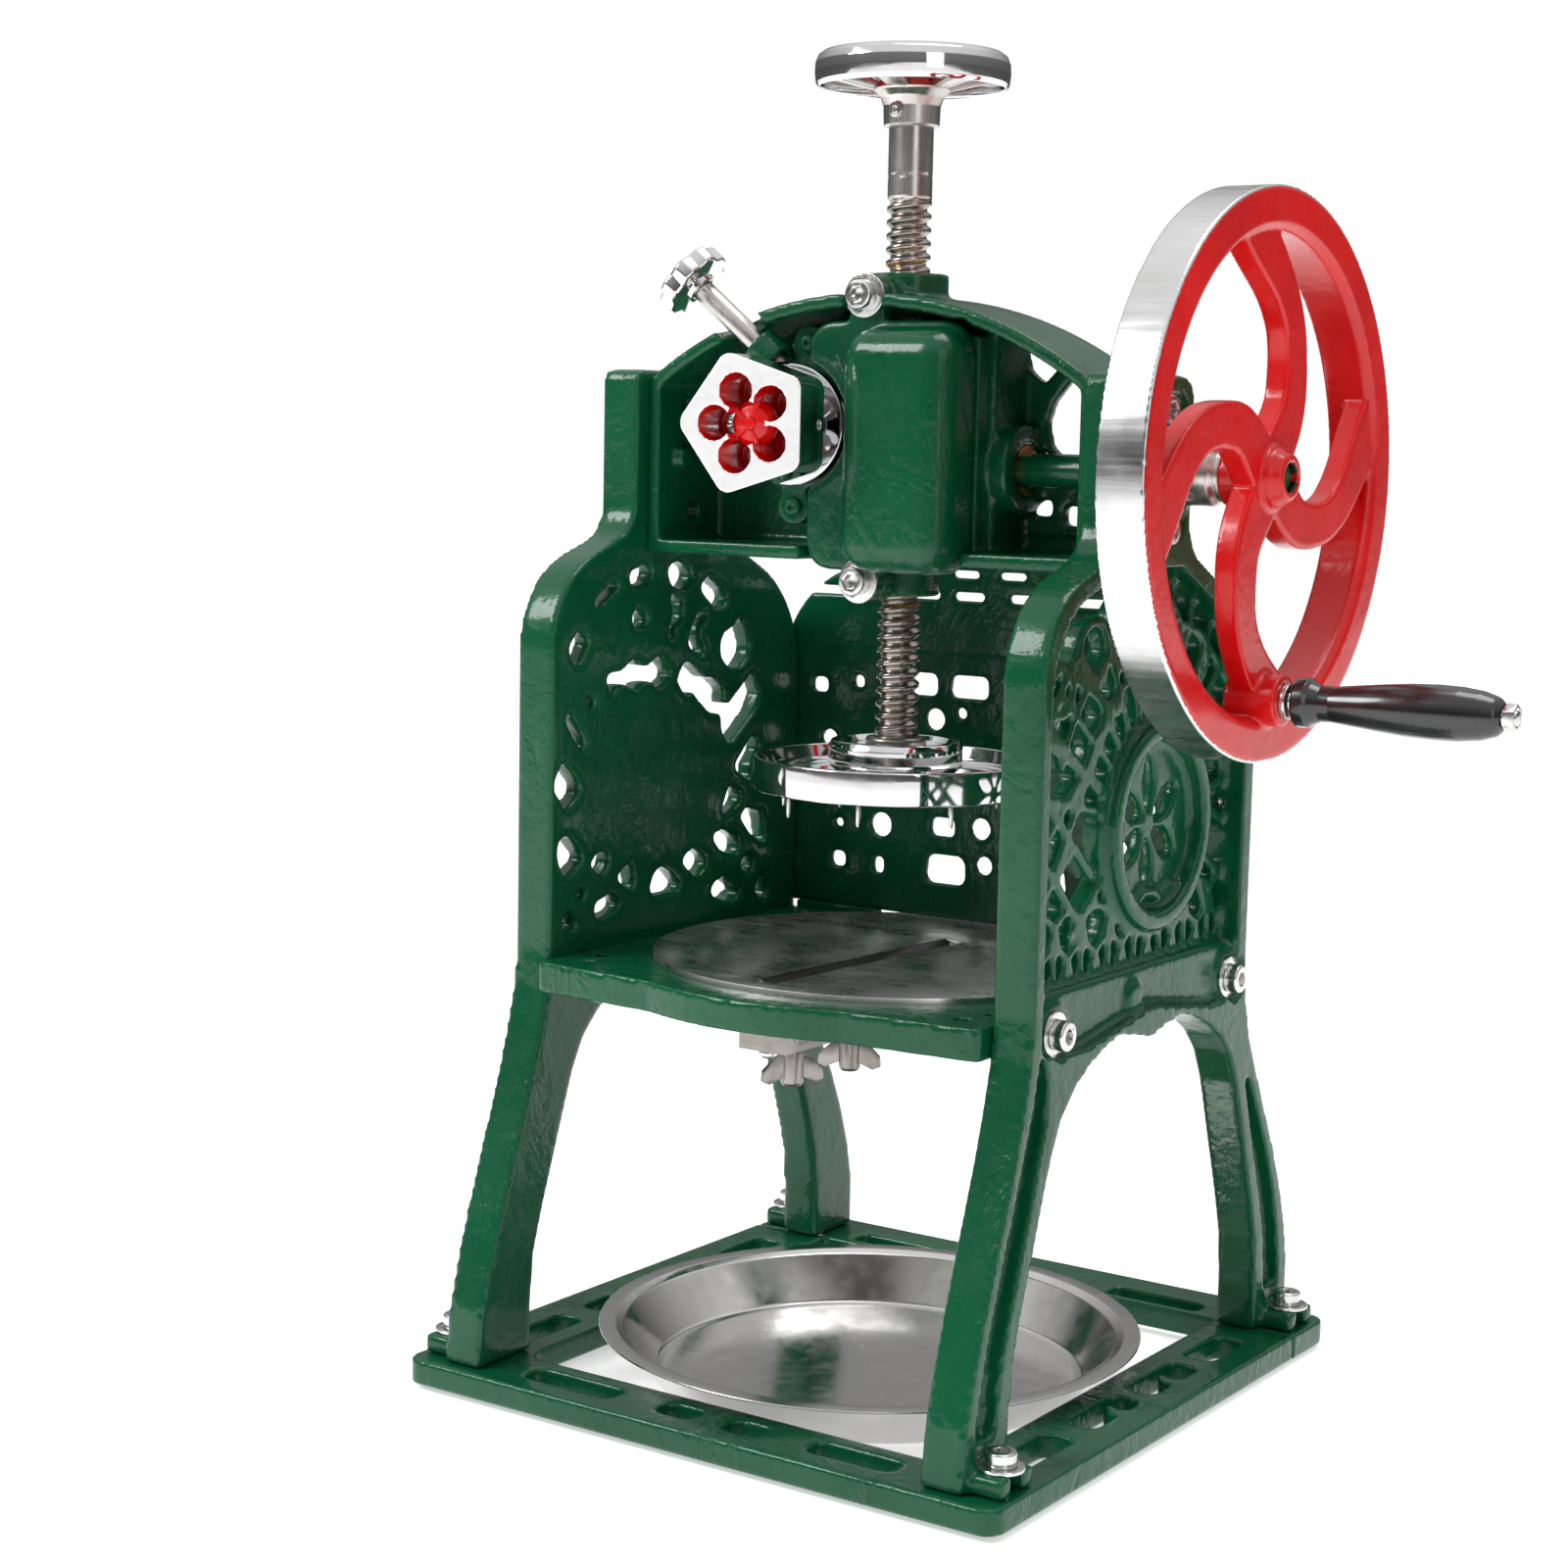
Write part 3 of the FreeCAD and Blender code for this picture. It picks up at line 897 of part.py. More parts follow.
def bevel_gear(teeth, pitch_r, cone, delta, inner, add, ded, pressure, backlash, phase, fan_out, fan_in):
    """Bevel gear with its apex at the origin and its axis along +Z; flanks run to the apex."""
    rv = pitch_r / math.cos(delta)
    half = (math.pi * pitch_r / teeth - backlash / 2) / 2 / rv
    pts = gear_points(teeth, rv, rv + add, rv - ded, pressure, half * 1.0, 4)
    out = []
    for i, (rho, t) in enumerate(pts):
        tooth = 2 * math.pi * (i // (len(pts) // teeth)) / teeth
        local = (t - tooth) / math.cos(delta)
        r = rho * math.cos(delta)
        z = cone / math.cos(delta) - rho * math.sin(delta)
        a = tooth + local + phase
        out.append(V(r * math.cos(a), r * math.sin(a), z))
    small = [p * inner for p in out]
    top, bottom = V(0, 0, fan_out), V(0, 0, fan_in)
    faces = []
    n = len(out)
    for i in range(n):
        j = (i + 1) % n
        for tri in ((out[i], out[j], small[j]), (out[i], small[j], small[i]), (out[j], out[i], top),
                    (small[i], small[j], bottom)):
            faces.append(Part.Face(Part.makePolygon([tri[0], tri[1], tri[2], tri[0]])))
    shell = Part.makeShell(faces)
    shell.sewShape()
    solid = Part.makeSolid(shell)
    if solid.Volume < 0:
        solid.reverse()
    return solid


CONE = 26.0
DELTA = math.atan2(24.0, 10.0)
gear = bevel_gear(24, 24.0, CONE, DELTA, 18 / 26.0, 1.35, 2.3, math.radians(20), 1.2, 0.0, 16.0, 8.4)
gear.Placement = FreeCAD.Placement(V(0, 0, CRANK_Z), FreeCAD.Rotation(V(1, 0, 0), 180))
GB = num(d.gear_back)
gear = gear.fuse([cylinder(num(d.gear_hub), (0, 0, GB), (0, 0, 1), 23), cylinder(22.4, (0, 0, 401), (0, 0, 1), 6.5)])
gear = gear.cut([cylinder(num(d.gear_bore), (0, 0, 380), (0, 0, 1), 50), block(-1.96, 1.96, 7, 12.02, 380, 403)])
casting("bevel_gear", one_solid(gear))
key = doc.addObject("Part::Box", "drive_key")
bind(key, "Length", 3.9)
bind(key, "Width", 12.0 - 7.55)
bind(key, "Height", 12)
key.Placement = at(-1.95, 7.55, GB + 1)
node("drive_key", key)

pinion = bevel_gear(10, 10.0, CONE, math.pi / 2 - DELTA, 18 / 26.0, 1.35, 2.3, math.radians(20), 1.2,
                    math.radians(18), 26.2, 16.9)
pinion = pinion.fuse(cylinder(6.9, (0, 0, 19.5), (0, 0, 1), 12.4).fuse(cylinder(8.2, (0, 0, 26.6), (0, 0, 1), 5.3)))
pinion = pinion.cut(cylinder(3.5, (0, 0, 22), (0, 0, 1), 60))
casting("bevel_pinion", one_solid(pinion), FreeCAD.Placement(V(0, 0, CRANK_Z), FreeCAD.Rotation(V(0, 1, 0), 90)))

HALF = 3.9 / 2 / 22.5
PRESS = math.atan(math.tan(math.radians(20)) / math.cos(math.radians(45)))
NH = num(d.nut_height)
nut = helical_gear(15, 22.5, 2.0, 2.5, PRESS, HALF, NH - 4.75, NH + 4.75, NH, 22.5, math.radians(190))
nut = nut.fuse(cylinder(num(d.nut_hub), (0, 0, NH - 4.75), (0, 0, 1), 34.73)).cut(
    cylinder(num(d.gear_bore), (0, 0, 400), (0, 0, 1), 100))
casting("feed_nut", one_solid(nut))

shaft = helical_gear(15, 22.5, 2.0, 2.5, PRESS, HALF, -6, 6, 0, 22.5, math.radians(12))
shaft = shaft.fuse([cylinder(num(d.feed_shaft_radius), (0, 0, -19.9), (0, 0, 1), 86), cylinder(11, (0, 0, -15.4), (0, 0, 1), 29.3)])
shaft = one_solid(shaft)
shaft.Placement = FEED
casting("feed_shaft", shaft)

# ================================================================ crank

CRANK = axis_place((0, 0, CRANK_Z), (1, 0, 0))
crank = turned("crank_shaft", [(0, 22.1), (3.5, 22.1), (3.5, 32), (d.crank_radius, 32), (d.crank_radius, d.wheel_from + 4),
                               (6, d.wheel_from + 4), (6, 187), (5.4, 187.6), (0, 187.6)], CRANK)
node("crank_shaft", crank)
collar = turned("shaft_collar", [(d.crank_radius, 140), (12.4, 140), (13, 140.6), (13, 157), (11.2, 159.5), (11.2, 161.9),
                                 (d.crank_radius, 161.9)], CRANK)
node("shaft_collar", collar)

WF, WR, WI = num(d.wheel_from), num(d.wheel_radius), num(d.wheel_inner)
HT = num(d.handle_throw)
rim_ = Part.makePolygon([V(WI, 0, WF), V(WR - 1, 0, WF), V(WR, 0, WF + 1), V(WR, 0, WF + 21), V(WR - 1, 0, WF + 22),
                         V(WI + 3, 0, WF + 22), V(WI, 0, WF + 19), V(WI, 0, WF)])
wheel = Part.Face(rim_).revolve(V(0, 0, 0), V(0, 0, 1), 360)
hub_ = Part.makePolygon([V(0, 0, WF), V(13, 0, WF), V(13, 0, WF + 23), V(11.5, 0, WF + 25), V(9.5, 0, WF + 28.5),
                         V(0, 0, WF + 28.5), V(0, 0, WF)])
wheel = wheel.fuse(Part.Face(hub_).revolve(V(0, 0, 0), V(0, 0, 1), 360))
# one swirling spoke in wheel coordinates: (p: world Z, q: world Y), centre line and half widths
line = [(0, 0, 13), (12, 8, 12), (28, 19, 10.5), (42, 21, 9.5), (62, 18, 9.2), (83, 2, 10), (94, -12, 11.5), (104, -24, 13)]
path = Part.BSplineCurve()
path.interpolate([V(p[0], p[1]) for p in line])
left_, right_ = [], []
ts = [path.FirstParameter + (path.LastParameter - path.FirstParameter) * k / 14.0 for k in range(15)]
for k, u in enumerate(ts):
    p, t = path.value(u), path.tangent(u)[0]
    f = k / 14.0 * (len(line) - 1)
    i = min(int(f), len(line) - 2)
    w = line[i][2] + (line[i + 1][2] - line[i][2]) * (f - i)
    left_.append(V(p.x - t.y * w, p.y + t.x * w))
    right_.append(V(p.x + t.y * w, p.y - t.x * w))
la, ra = Part.BSplineCurve(), Part.BSplineCurve()
la.interpolate(left_)
ra.interpolate(list(reversed(right_)))
spoke = Part.Wire([la.toShape(), Part.makeLine(left_[-1], right_[-1]), ra.toShape(), Part.makeLine(right_[0], left_[0])])
spoke = plate(spoke, WF + 9.5, WF + 20).common(cylinder(WI + 4, (0, 0, 0), (0, 0, 1), 400))
for k in range(4):
    arm = spoke.copy()
    arm.rotate(V(0, 0, 0), V(0, 0, 1), 90 * k)
    wheel = wheel.fuse(arm)
wheel = wheel.fuse(cylinder(11, (-HT, 0, WF + 6), (0, 0, 1), 23.4))
wheel = wheel.cut([cylinder(6, (0, 0, 100), (0, 0, 1), 200), cylinder(7.5, (0, 0, 100), (0, 0, 1), 66),
                   cylinder(4, (-HT, 0, 100), (0, 0, 1), 200), block(-1.5, 1.5, 5, 7.8, WF + 4, WF + 30)])
# wheel coordinates (p, q, along) are world (Z, Y, X): mirror of a turn, so mirror q first
wheel = one_solid(wheel).mirror(V(0, 0, 0), V(0, 1, 0))
wheel.Placement = FreeCAD.Placement(FreeCAD.Matrix(0, 0, 1, 0, 0, -1, 0, 0, 1, 0, 0, CRANK_Z, 0, 0, 0, 1)).multiply(wheel.Placement)
casting("flywheel", wheel)
key = doc.addObject("Part::Box", "shaft_key")
bind(key, "Length", 21)
bind(key, "Width", 1.75)
bind(key, "Height", 2.9)
key.Placement = at(WF + 4.1, 6.0, CRANK_Z - 1.45)
node("shaft_key", key)

HAND = axis_place((0, 0, CRANK_Z - HT), (1, 0, 0))
GF = num(d.grip_from)
GE = GF + num(d.grip_length)
pin = turned("handle_pin", [(0, WF + 6), (3.95, WF + 6), (3.95, GF - 0.02), (7.5, GF - 0.02), (7.5, GF + 3), (4, GF + 3),
                            (4, GE + 0.4), (3.2, GE + 0.4), (3.2, GE + 5.5), (0, GE + 5.5)], HAND)
node("handle_pin", pin)
nutb = new_body("handle_nut")
pad(nutb, "nut_blank", GE + 0.45, GE + 5, polygons=[hexagon(6.0)])
pocket(nutb, "nut_bore", GE + 6, 20, circles=[(3.2,)])
nutb.Placement = HAND
node("handle_nut", nutb)
grip = turned("grip", [(4.08, GF + 3.2), (10.2, GF + 3.2), (10.5, GF + 4), (10.5, GF + 8.5), (9.2, GF + 10), (7.6, GF + 14),
                       (7.6, GF + 19), (8.6, GF + 28), (9.9, GF + 40), (11, GF + 52), (d.grip_radius, GF + 64),
                       (11.3, GF + 74), (10.2, GF + 83), (8, GF + 90), (5.8, GE - 0.4), (5, GE), (4.08, GE)], HAND)
node("grip", grip)

# ================================================================ spindle

screw_b = turned("feed_screw", [(0, d.presser_low), (d.screw_radius, d.presser_low), (d.screw_radius, d.screw_top), (0, d.screw_top)])
sk = new_sketch(screw_b, "thread_groove_sketch", "XZ_Plane")
G0 = 299
draw(sk, [(d.screw_core, G0 + 2.1), (d.screw_core, G0 + 3.9), (d.screw_radius + 0.4, G0 + 5.1), (d.screw_radius + 0.4, G0 + 0.9)])
groove = screw_b.newObject("PartDesign::Groove", "thread_groove")
groove.Profile = sk
groove.ReferenceAxis = (sk, ["V_Axis"])
groove.Angle = 360
doc.recompute()
pattern = screw_b.newObject("PartDesign::LinearPattern", "thread_grooves")
pattern.Originals = [groove]
pattern.Direction = (sk, ["V_Axis"])
bind(pattern, "Length", d.screw_pitch * 38)
pattern.Occurrences = 39
screw_b.Tip = pattern
doc.recompute()
before = screw_b.Shape.Volume
sk = new_sketch(screw_b, "keyway_sketch", "XY_Plane", 300)
draw(sk, [(-2, 7.45), (2, 7.45), (2, 12), (-2, 12)])
kw = screw_b.newObject("PartDesign::Pocket", "keyway")
kw.Profile = sk
kw.Length = 238
kw.Reversed = True
doc.recompute()
if screw_b.Shape.Volume > before - 100:
    raise RuntimeError("keyway cuts nothing")
node("feed_screw", screw_b)

HL, HH, HR = d.handwheel_low, d.handwheel_high, d.handwheel_radius
hw = turned("handwheel", [(d.screw_radius, HL), (12, HL), (12.5, HL + 0.6), (12.8, HL + 9), (14.2, HL + 13), (17, HL + 15.5),
                          (22, HL + 17.4), (36, HL + 20), (38, HL + 17.9), (41.6, HL + 18.4), (HR - 0.7, HL + 21),
                          (HR, HL + 24.5), (HR - 0.4, HL + 28.5), (HR - 2.2, HL + 31.6), (HR - 5, HH), (37, HL + 31),
                          (35.8, HL + 27), (35.5, HL + 24), (22, HL + 21.5), (14, HL + 21.5), (d.screw_radius, HL + 21.5)])
doc.recompute()
before = hw.Shape.Volume
sk = new_sketch(hw, "window_sketch", "XY_Plane", 560)
window = [(20.5, -24), (35, -27), (35, -14), (35, 0), (35, 14), (35, 27), (20.5, 24), (20.5, 0)]
draw(sk, [(round(r * math.cos(math.radians(a)), 4), round(r * math.sin(math.radians(a)), 4)) for r, a in window])
win = hw.newObject("PartDesign::Pocket", "window")
win.Profile = sk
win.Length = 60
win.Reversed = True
doc.recompute()
pat = hw.newObject("PartDesign::PolarPattern", "windows")
pat.Originals = [win]
pat.Axis = (sk, ["N_Axis"])
pat.Angle = 360
pat.Occurrences = 5
hw.Tip = pat
doc.recompute()
if hw.Shape.Volume > before - 500:
    raise RuntimeError("handwheel windows cut nothing")
hole = new_sketch(hw, "grub_sketch", "XZ_Plane")
ring(hole, 2.5, 0, HL + 6.5)
gh = hw.newObject("PartDesign::Pocket", "grub_hole")
gh.Profile = hole
gh.Length = 20
doc.recompute()
if not gh.Shape.isValid():
    raise RuntimeError("grub hole")
hw.Placement = FreeCAD.Placement(V(0, 0, 0), FreeCAD.Rotation(V(0, 0, 1), 180))
node("handwheel", hw)
grub = turned("handwheel_grub_screw", [(0, 10.05), (2.45, 10.05), (2.45, 13.2), (3.3, 13.2), (3.3, 14.4), (1.3, 14.4),
                                       (1.3, 13), (0, 13)], axis_place((0, 0, num(HL) + 6.5), (0, -1, 0)))
node("handwheel_grub_screw", grub)

PR, PL, PH = d.presser_radius, d.presser_low, d.presser_high
presser = turned("presser_disc", [(d.screw_radius, PL), (PR - 0.5, PL), (PR, PL + 0.5), (PR, PH - 0.5), (PR - 0.5, PH),
                                  (PR - 2, PH), (PR - 4, PL + 8), (PR - 7, PL + 6.5), (d.screw_radius, PL + 6.5)])
pocket(presser, "spike_holes", PL + 4, 10, circles=[(d.spike_radius,) + xy for xy in
       [(round(r * math.cos(math.radians(a)), 4), round(r * math.sin(math.radians(a)), 4)) for r, a in
        [(54, 15 + 45 * k) for k in range(8)] + [(30, 0 + 90 * k) for k in range(4)]]])
node("presser_disc", presser)
CH_ = d.collar_high
node("presser_collar", turned("presser_collar", [(d.screw_radius, PL + 6.52), (27, PL + 6.52), (27, PL + 8), (29.5, PL + 9),
     (d.collar_radius, PL + 12), (d.collar_radius, CH_ - 3), (29, CH_), (26, CH_), (24, CH_ - 3), (d.screw_radius, CH_ - 3)]))
node("presser_nut", turned("presser_nut", [(d.screw_radius, CH_ - 2.98), (14, CH_ - 2.98), (14, CH_ + 0.5), (13, CH_ + 1.6),
                                           (d.screw_radius, CH_ + 1.6)]))
spike = turned("spike", [(0, PL + 3.9), (0, PL - d.spike_length), (0.6, PL - d.spike_length), (d.spike_radius, PL - d.spike_length + 2),
                         (d.spike_radius, PL + 3.9)])
group("ice_spikes", spike, [at(r * math.cos(math.radians(a)), r * math.sin(math.radians(a))) for r, a in
                            [(54, 15 + 45 * k) for k in range(8)] + [(30, 0 + 90 * k) for k in range(4)]])

# ================================================================ feed knob and brake

DF, DT, KF, KT = d.drum_from, d.drum_to, d.knob_from, d.knob_to
drum = turned("brake_drum", [(d.feed_shaft_radius, DF), (26.5, DF), (d.drum_radius, DF + 0.8), (d.drum_radius, DT - 0.8),
                             (26.5, DT), (13, DT), (12, DT + 1), (12, KF - 0.02), (d.feed_shaft_radius, KF - 0.02)], FEED)
node("brake_drum", drum)
KR, KA, KB = num(d.knob_corner), num(KF), num(KT)
corners = [(KR * math.cos(math.radians(108 + 72 * k)), KR * math.sin(math.radians(108 + 72 * k)), 6.5) for k in range(5)]
back = [(c[0] * 0.86, c[1] * 0.86, 6) for c in corners]
knob = plate(outline(corners), KA + 6, KB)
low_w, high_w = outline(back, KA), outline(corners, KA + 6)
knob = knob.fuse(Part.makeLoft([low_w, high_w], True, True))
recess, through = [cylinder(9.5, (0, 0, KB - 24), (0, 0, 1), 30)], []
for k in range(5):
    q = math.radians(108 + 72 * k)
    x, y = 14.8 * math.cos(q), 14.8 * math.sin(q)
    recess.append(cylinder(7.7, (x, y, KB - 24), (0, 0, 1), 30))
    through.append(cylinder(4.6, (15.6 * math.cos(q), 15.6 * math.sin(q), KA - 1), (0, 0, 1), 20))
pit = recess[0]
for r in recess[1:]:
    pit = pit.fuse(r)
knob = knob.cut(pit)
star = cylinder(5.2, (0, 0, KB - 24.5), (0, 0, 1), 16.5)
for k in range(5):
    q = math.radians(108 + 36 + 72 * k)
    star = star.fuse(strip((0, 0), (12 * math.cos(q), 12 * math.sin(q)), 2.6, KB - 24.5, KB - 9.5))
knob = knob.fuse(star).cut(through)
knob = knob.cut([cylinder(num(d.feed_shaft_radius), (0, 0, KA - 5), (0, 0, 1), 28.6),
                 cylinder(2.4, (6, 0, KA + 11), (1, 0, 0), 50)])
casting("feed_knob", one_solid(feed(one_solid(knob))))
set_screw = turned("knob_set_screw", [(0, 7.05), (2.35, 7.05), (2.35, 25.2), (1.2, 25.2), (1.2, 23.5), (0, 23.5)],
                   FEED.multiply(axis_place((0, 0, KA + 11), (1, 0, 0))))
node("knob_set_screw", set_screw)

# brake: a screw in the boss presses a shoe on the drum
rod_from = brake_point(-BK_CONTACT + 1.0)
shoe = cylinder(num(d.brake_rod) - 0.06, brake_point(-BK_CONTACT - 3), BK_DIR, 6.5)
shoe = shoe.cut([cylinder(num(d.drum_radius) + 0.7, (0, 0, 0), (0, 0, 1), 60)])
casting("brake_shoe", one_solid(feed(one_solid(shoe))))
BRAKE = FEED.multiply(axis_place(BK_END, BK_DIR))
S0 = -BK_CONTACT + 3.55
brake_screw = turned("brake_screw", [(0, S0), (4.5, S0), (d.brake_rod, S0 + 0.6), (d.brake_rod, 41), (0, 41)], BRAKE)
node("brake_screw", brake_screw)
bk = []
for k in range(24):
    q = 2 * math.pi * k / 24
    r = 17 if k % 3 else 15.2
    bk.append((r * math.cos(q), r * math.sin(q), 2.0))
knob2 = plate(outline(bk), 40, 49)
knob2 = knob2.makeChamfer(1.0, [e for e in knob2.Edges if abs(e.BoundBox.ZMax - e.BoundBox.ZMin) < 1e-6])
knob2 = knob2.fuse(cylinder(7.5, (0, 0, 37.5), (0, 0, 1), 5)).cut([cylinder(num(d.brake_rod), (0, 0, 30), (0, 0, 1), 11),
                                                              cylinder(11, (0, 0, 47.8), (0, 0, 1), 3)])
knob2 = one_solid(knob2)
knob2.Placement = BRAKE
casting("brake_knob", knob2)

# ================================================================ ice tray

TR, TW, TF, THI = d.tray_rim, d.tray_wall, d.tray_floor, d.tray_high
tray = turned("ice_tray", [(0, 0), (TF - 4, 0), (TF, 1.2), (TW, THI - 2.6), (TW + 3, THI - 1.2), (TR - 1, THI - 1.4),
                           (TR, THI - 0.8), (TR - 0.4, THI), (TW + 2.4, THI), (TW - 1.6, THI - 1.9), (TF - 2, 1.9),
                           (TF - 5, 1.2), (0, 1.2)], at(0, -10.7, 0.3))
node("ice_tray", tray)

# ================================================================ write the pieces

doc.recompute()
bad = [o.Name for o in doc.Objects if "Invalid" in o.State or "Error" in o.State]
if bad:
    raise RuntimeError("objects failed: " + ", ".join(bad))
for name, obj in NODES:
    shape = obj.Shape
    if shape.isNull() or not shape.isValid():
        raise RuntimeError("bad shape: " + name)
for name, obj in NODES:
    obj.Shape.exportStep("parts/" + name + ".step")
    b = obj.Shape.BoundBox
    print("%-22s solids %2d  volume %10.1f  x %.1f..%.1f  y %.1f..%.1f  z %.1f..%.1f" % (
        name, len(obj.Shape.Solids), obj.Shape.Volume, b.XMin, b.XMax, b.YMin, b.YMax, b.ZMin, b.ZMax))
print("nodes", len(NODES))
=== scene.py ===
import math
import bmesh
import bpy
from mathutils import Matrix, Vector, noise


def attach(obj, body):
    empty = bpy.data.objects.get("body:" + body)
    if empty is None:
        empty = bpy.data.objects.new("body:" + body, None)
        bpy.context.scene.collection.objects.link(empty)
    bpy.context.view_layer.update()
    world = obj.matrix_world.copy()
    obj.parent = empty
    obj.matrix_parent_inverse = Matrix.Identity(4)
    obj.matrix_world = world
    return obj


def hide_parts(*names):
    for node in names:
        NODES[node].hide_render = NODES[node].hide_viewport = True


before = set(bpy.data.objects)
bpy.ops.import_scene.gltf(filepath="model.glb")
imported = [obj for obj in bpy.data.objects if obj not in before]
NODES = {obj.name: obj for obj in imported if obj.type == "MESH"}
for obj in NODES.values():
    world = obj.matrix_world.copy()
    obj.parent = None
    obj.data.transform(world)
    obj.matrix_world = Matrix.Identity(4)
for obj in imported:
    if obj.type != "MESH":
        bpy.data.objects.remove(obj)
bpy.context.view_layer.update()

MM = 0.001
scene = bpy.context.scene

# ---------------------------------------------------------------- node helpers


def material(name):
    m = bpy.data.materials.new(name)
    m.use_nodes = True
    nt = m.node_tree
    nt.nodes.clear()
    out = nt.nodes.new("ShaderNodeOutputMaterial")
    bsdf = nt.nodes.new("ShaderNodeBsdfPrincipled")
    nt.links.new(bsdf.outputs[0], out.inputs[0])
    return m, nt, bsdf


def position(nt, scale=(1, 1, 1), rotate=(0, 0, 0)):
    tc = nt.nodes.new("ShaderNodeTexCoord")
    mp = nt.nodes.new("ShaderNodeMapping")
    mp.inputs["Scale"].default_value = scale
    mp.inputs["Rotation"].default_value = rotate
    nt.links.new(tc.outputs["Object"], mp.inputs["Vector"])
    return mp.outputs[0]


def noise_node(nt, scale, detail=4.0, rough=0.55, vector=None, distortion=0.0):
    n = nt.nodes.new("ShaderNodeTexNoise")
    n.inputs["Scale"].default_value = scale
    n.inputs["Detail"].default_value = detail
    n.inputs["Roughness"].default_value = rough
    n.inputs["Distortion"].default_value = distortion
    nt.links.new(vector if vector is not None else position(nt), n.inputs["Vector"])
    return n.outputs[0]


def ramp(nt, value, stops, interpolation="LINEAR"):
    r = nt.nodes.new("ShaderNodeValToRGB")
    r.color_ramp.interpolation = interpolation
    el = r.color_ramp.elements
    while len(el) > 1:
        el.remove(el[-1])
    el[0].position = stops[0][0]
    el[0].color = tuple(stops[0][1]) + (1.0,) if len(stops[0][1]) == 3 else stops[0][1]
    for pos, col in stops[1:]:
        e = el.new(pos)
        e.color = tuple(col) + (1.0,) if len(col) == 3 else col
    nt.links.new(value, r.inputs[0])
    return r.outputs[0]


def math_node(nt, op, a, b=None, clamp=False):
    n = nt.nodes.new("ShaderNodeMath")
    n.operation = op
    n.use_clamp = clamp
    for i, v in enumerate((a, b)):
        if v is None:
            continue
        if isinstance(v, (int, float)):
            n.inputs[i].default_value = v
        else:
            nt.links.new(v, n.inputs[i])
    return n.outputs[0]


def mix_color(nt, fac, a, b, blend="MIX"):
    n = nt.nodes.new("ShaderNodeMix")
    n.data_type = "RGBA"
    n.blend_type = blend
    for sock, v in ((n.inputs[0], fac), (n.inputs[6], a), (n.inputs[7], b)):
        if isinstance(v, (int, float)):
            sock.default_value = v
        elif isinstance(v, (tuple, list)):
            sock.default_value = tuple(v) + (1.0,) if len(v) == 3 else v
        else:
            nt.links.new(v, sock)
    return n.outputs[2]


def map_range(nt, value, a, b, c, d):
    n = nt.nodes.new("ShaderNodeMapRange")
    for i, v in enumerate((a, b, c, d)):
        n.inputs[i + 1].default_value = v
    nt.links.new(value, n.inputs[0])
    return n.outputs[0]


def bump(nt, height, strength, distance, normal=None):
    b = nt.nodes.new("ShaderNodeBump")
    b.inputs["Strength"].default_value = 1.0
    b.inputs["Distance"].default_value = distance
    if isinstance(strength, (int, float)):
        b.inputs["Strength"].default_value = strength
    else:
        nt.links.new(strength, b.inputs["Strength"])
    nt.links.new(height, b.inputs["Height"])
    if normal is not None:
        nt.links.new(normal, b.inputs["Normal"])
    return b.outputs[0]


def feed_to(nt, socket, value):
    if isinstance(value, (int, float)):
        socket.default_value = value
    elif isinstance(value, (tuple, list)):
        socket.default_value = tuple(value) + (1.0,) if len(value) == 3 else value
    else:
        nt.links.new(value, socket)


def edge_mask(nt, low, high):
    """Bright where the surface turns over an edge."""
    g = nt.nodes.new("ShaderNodeNewGeometry")
    return map_range(nt, g.outputs["Pointiness"], low, high, 0.0, 1.0)


# ---------------------------------------------------------------- materials


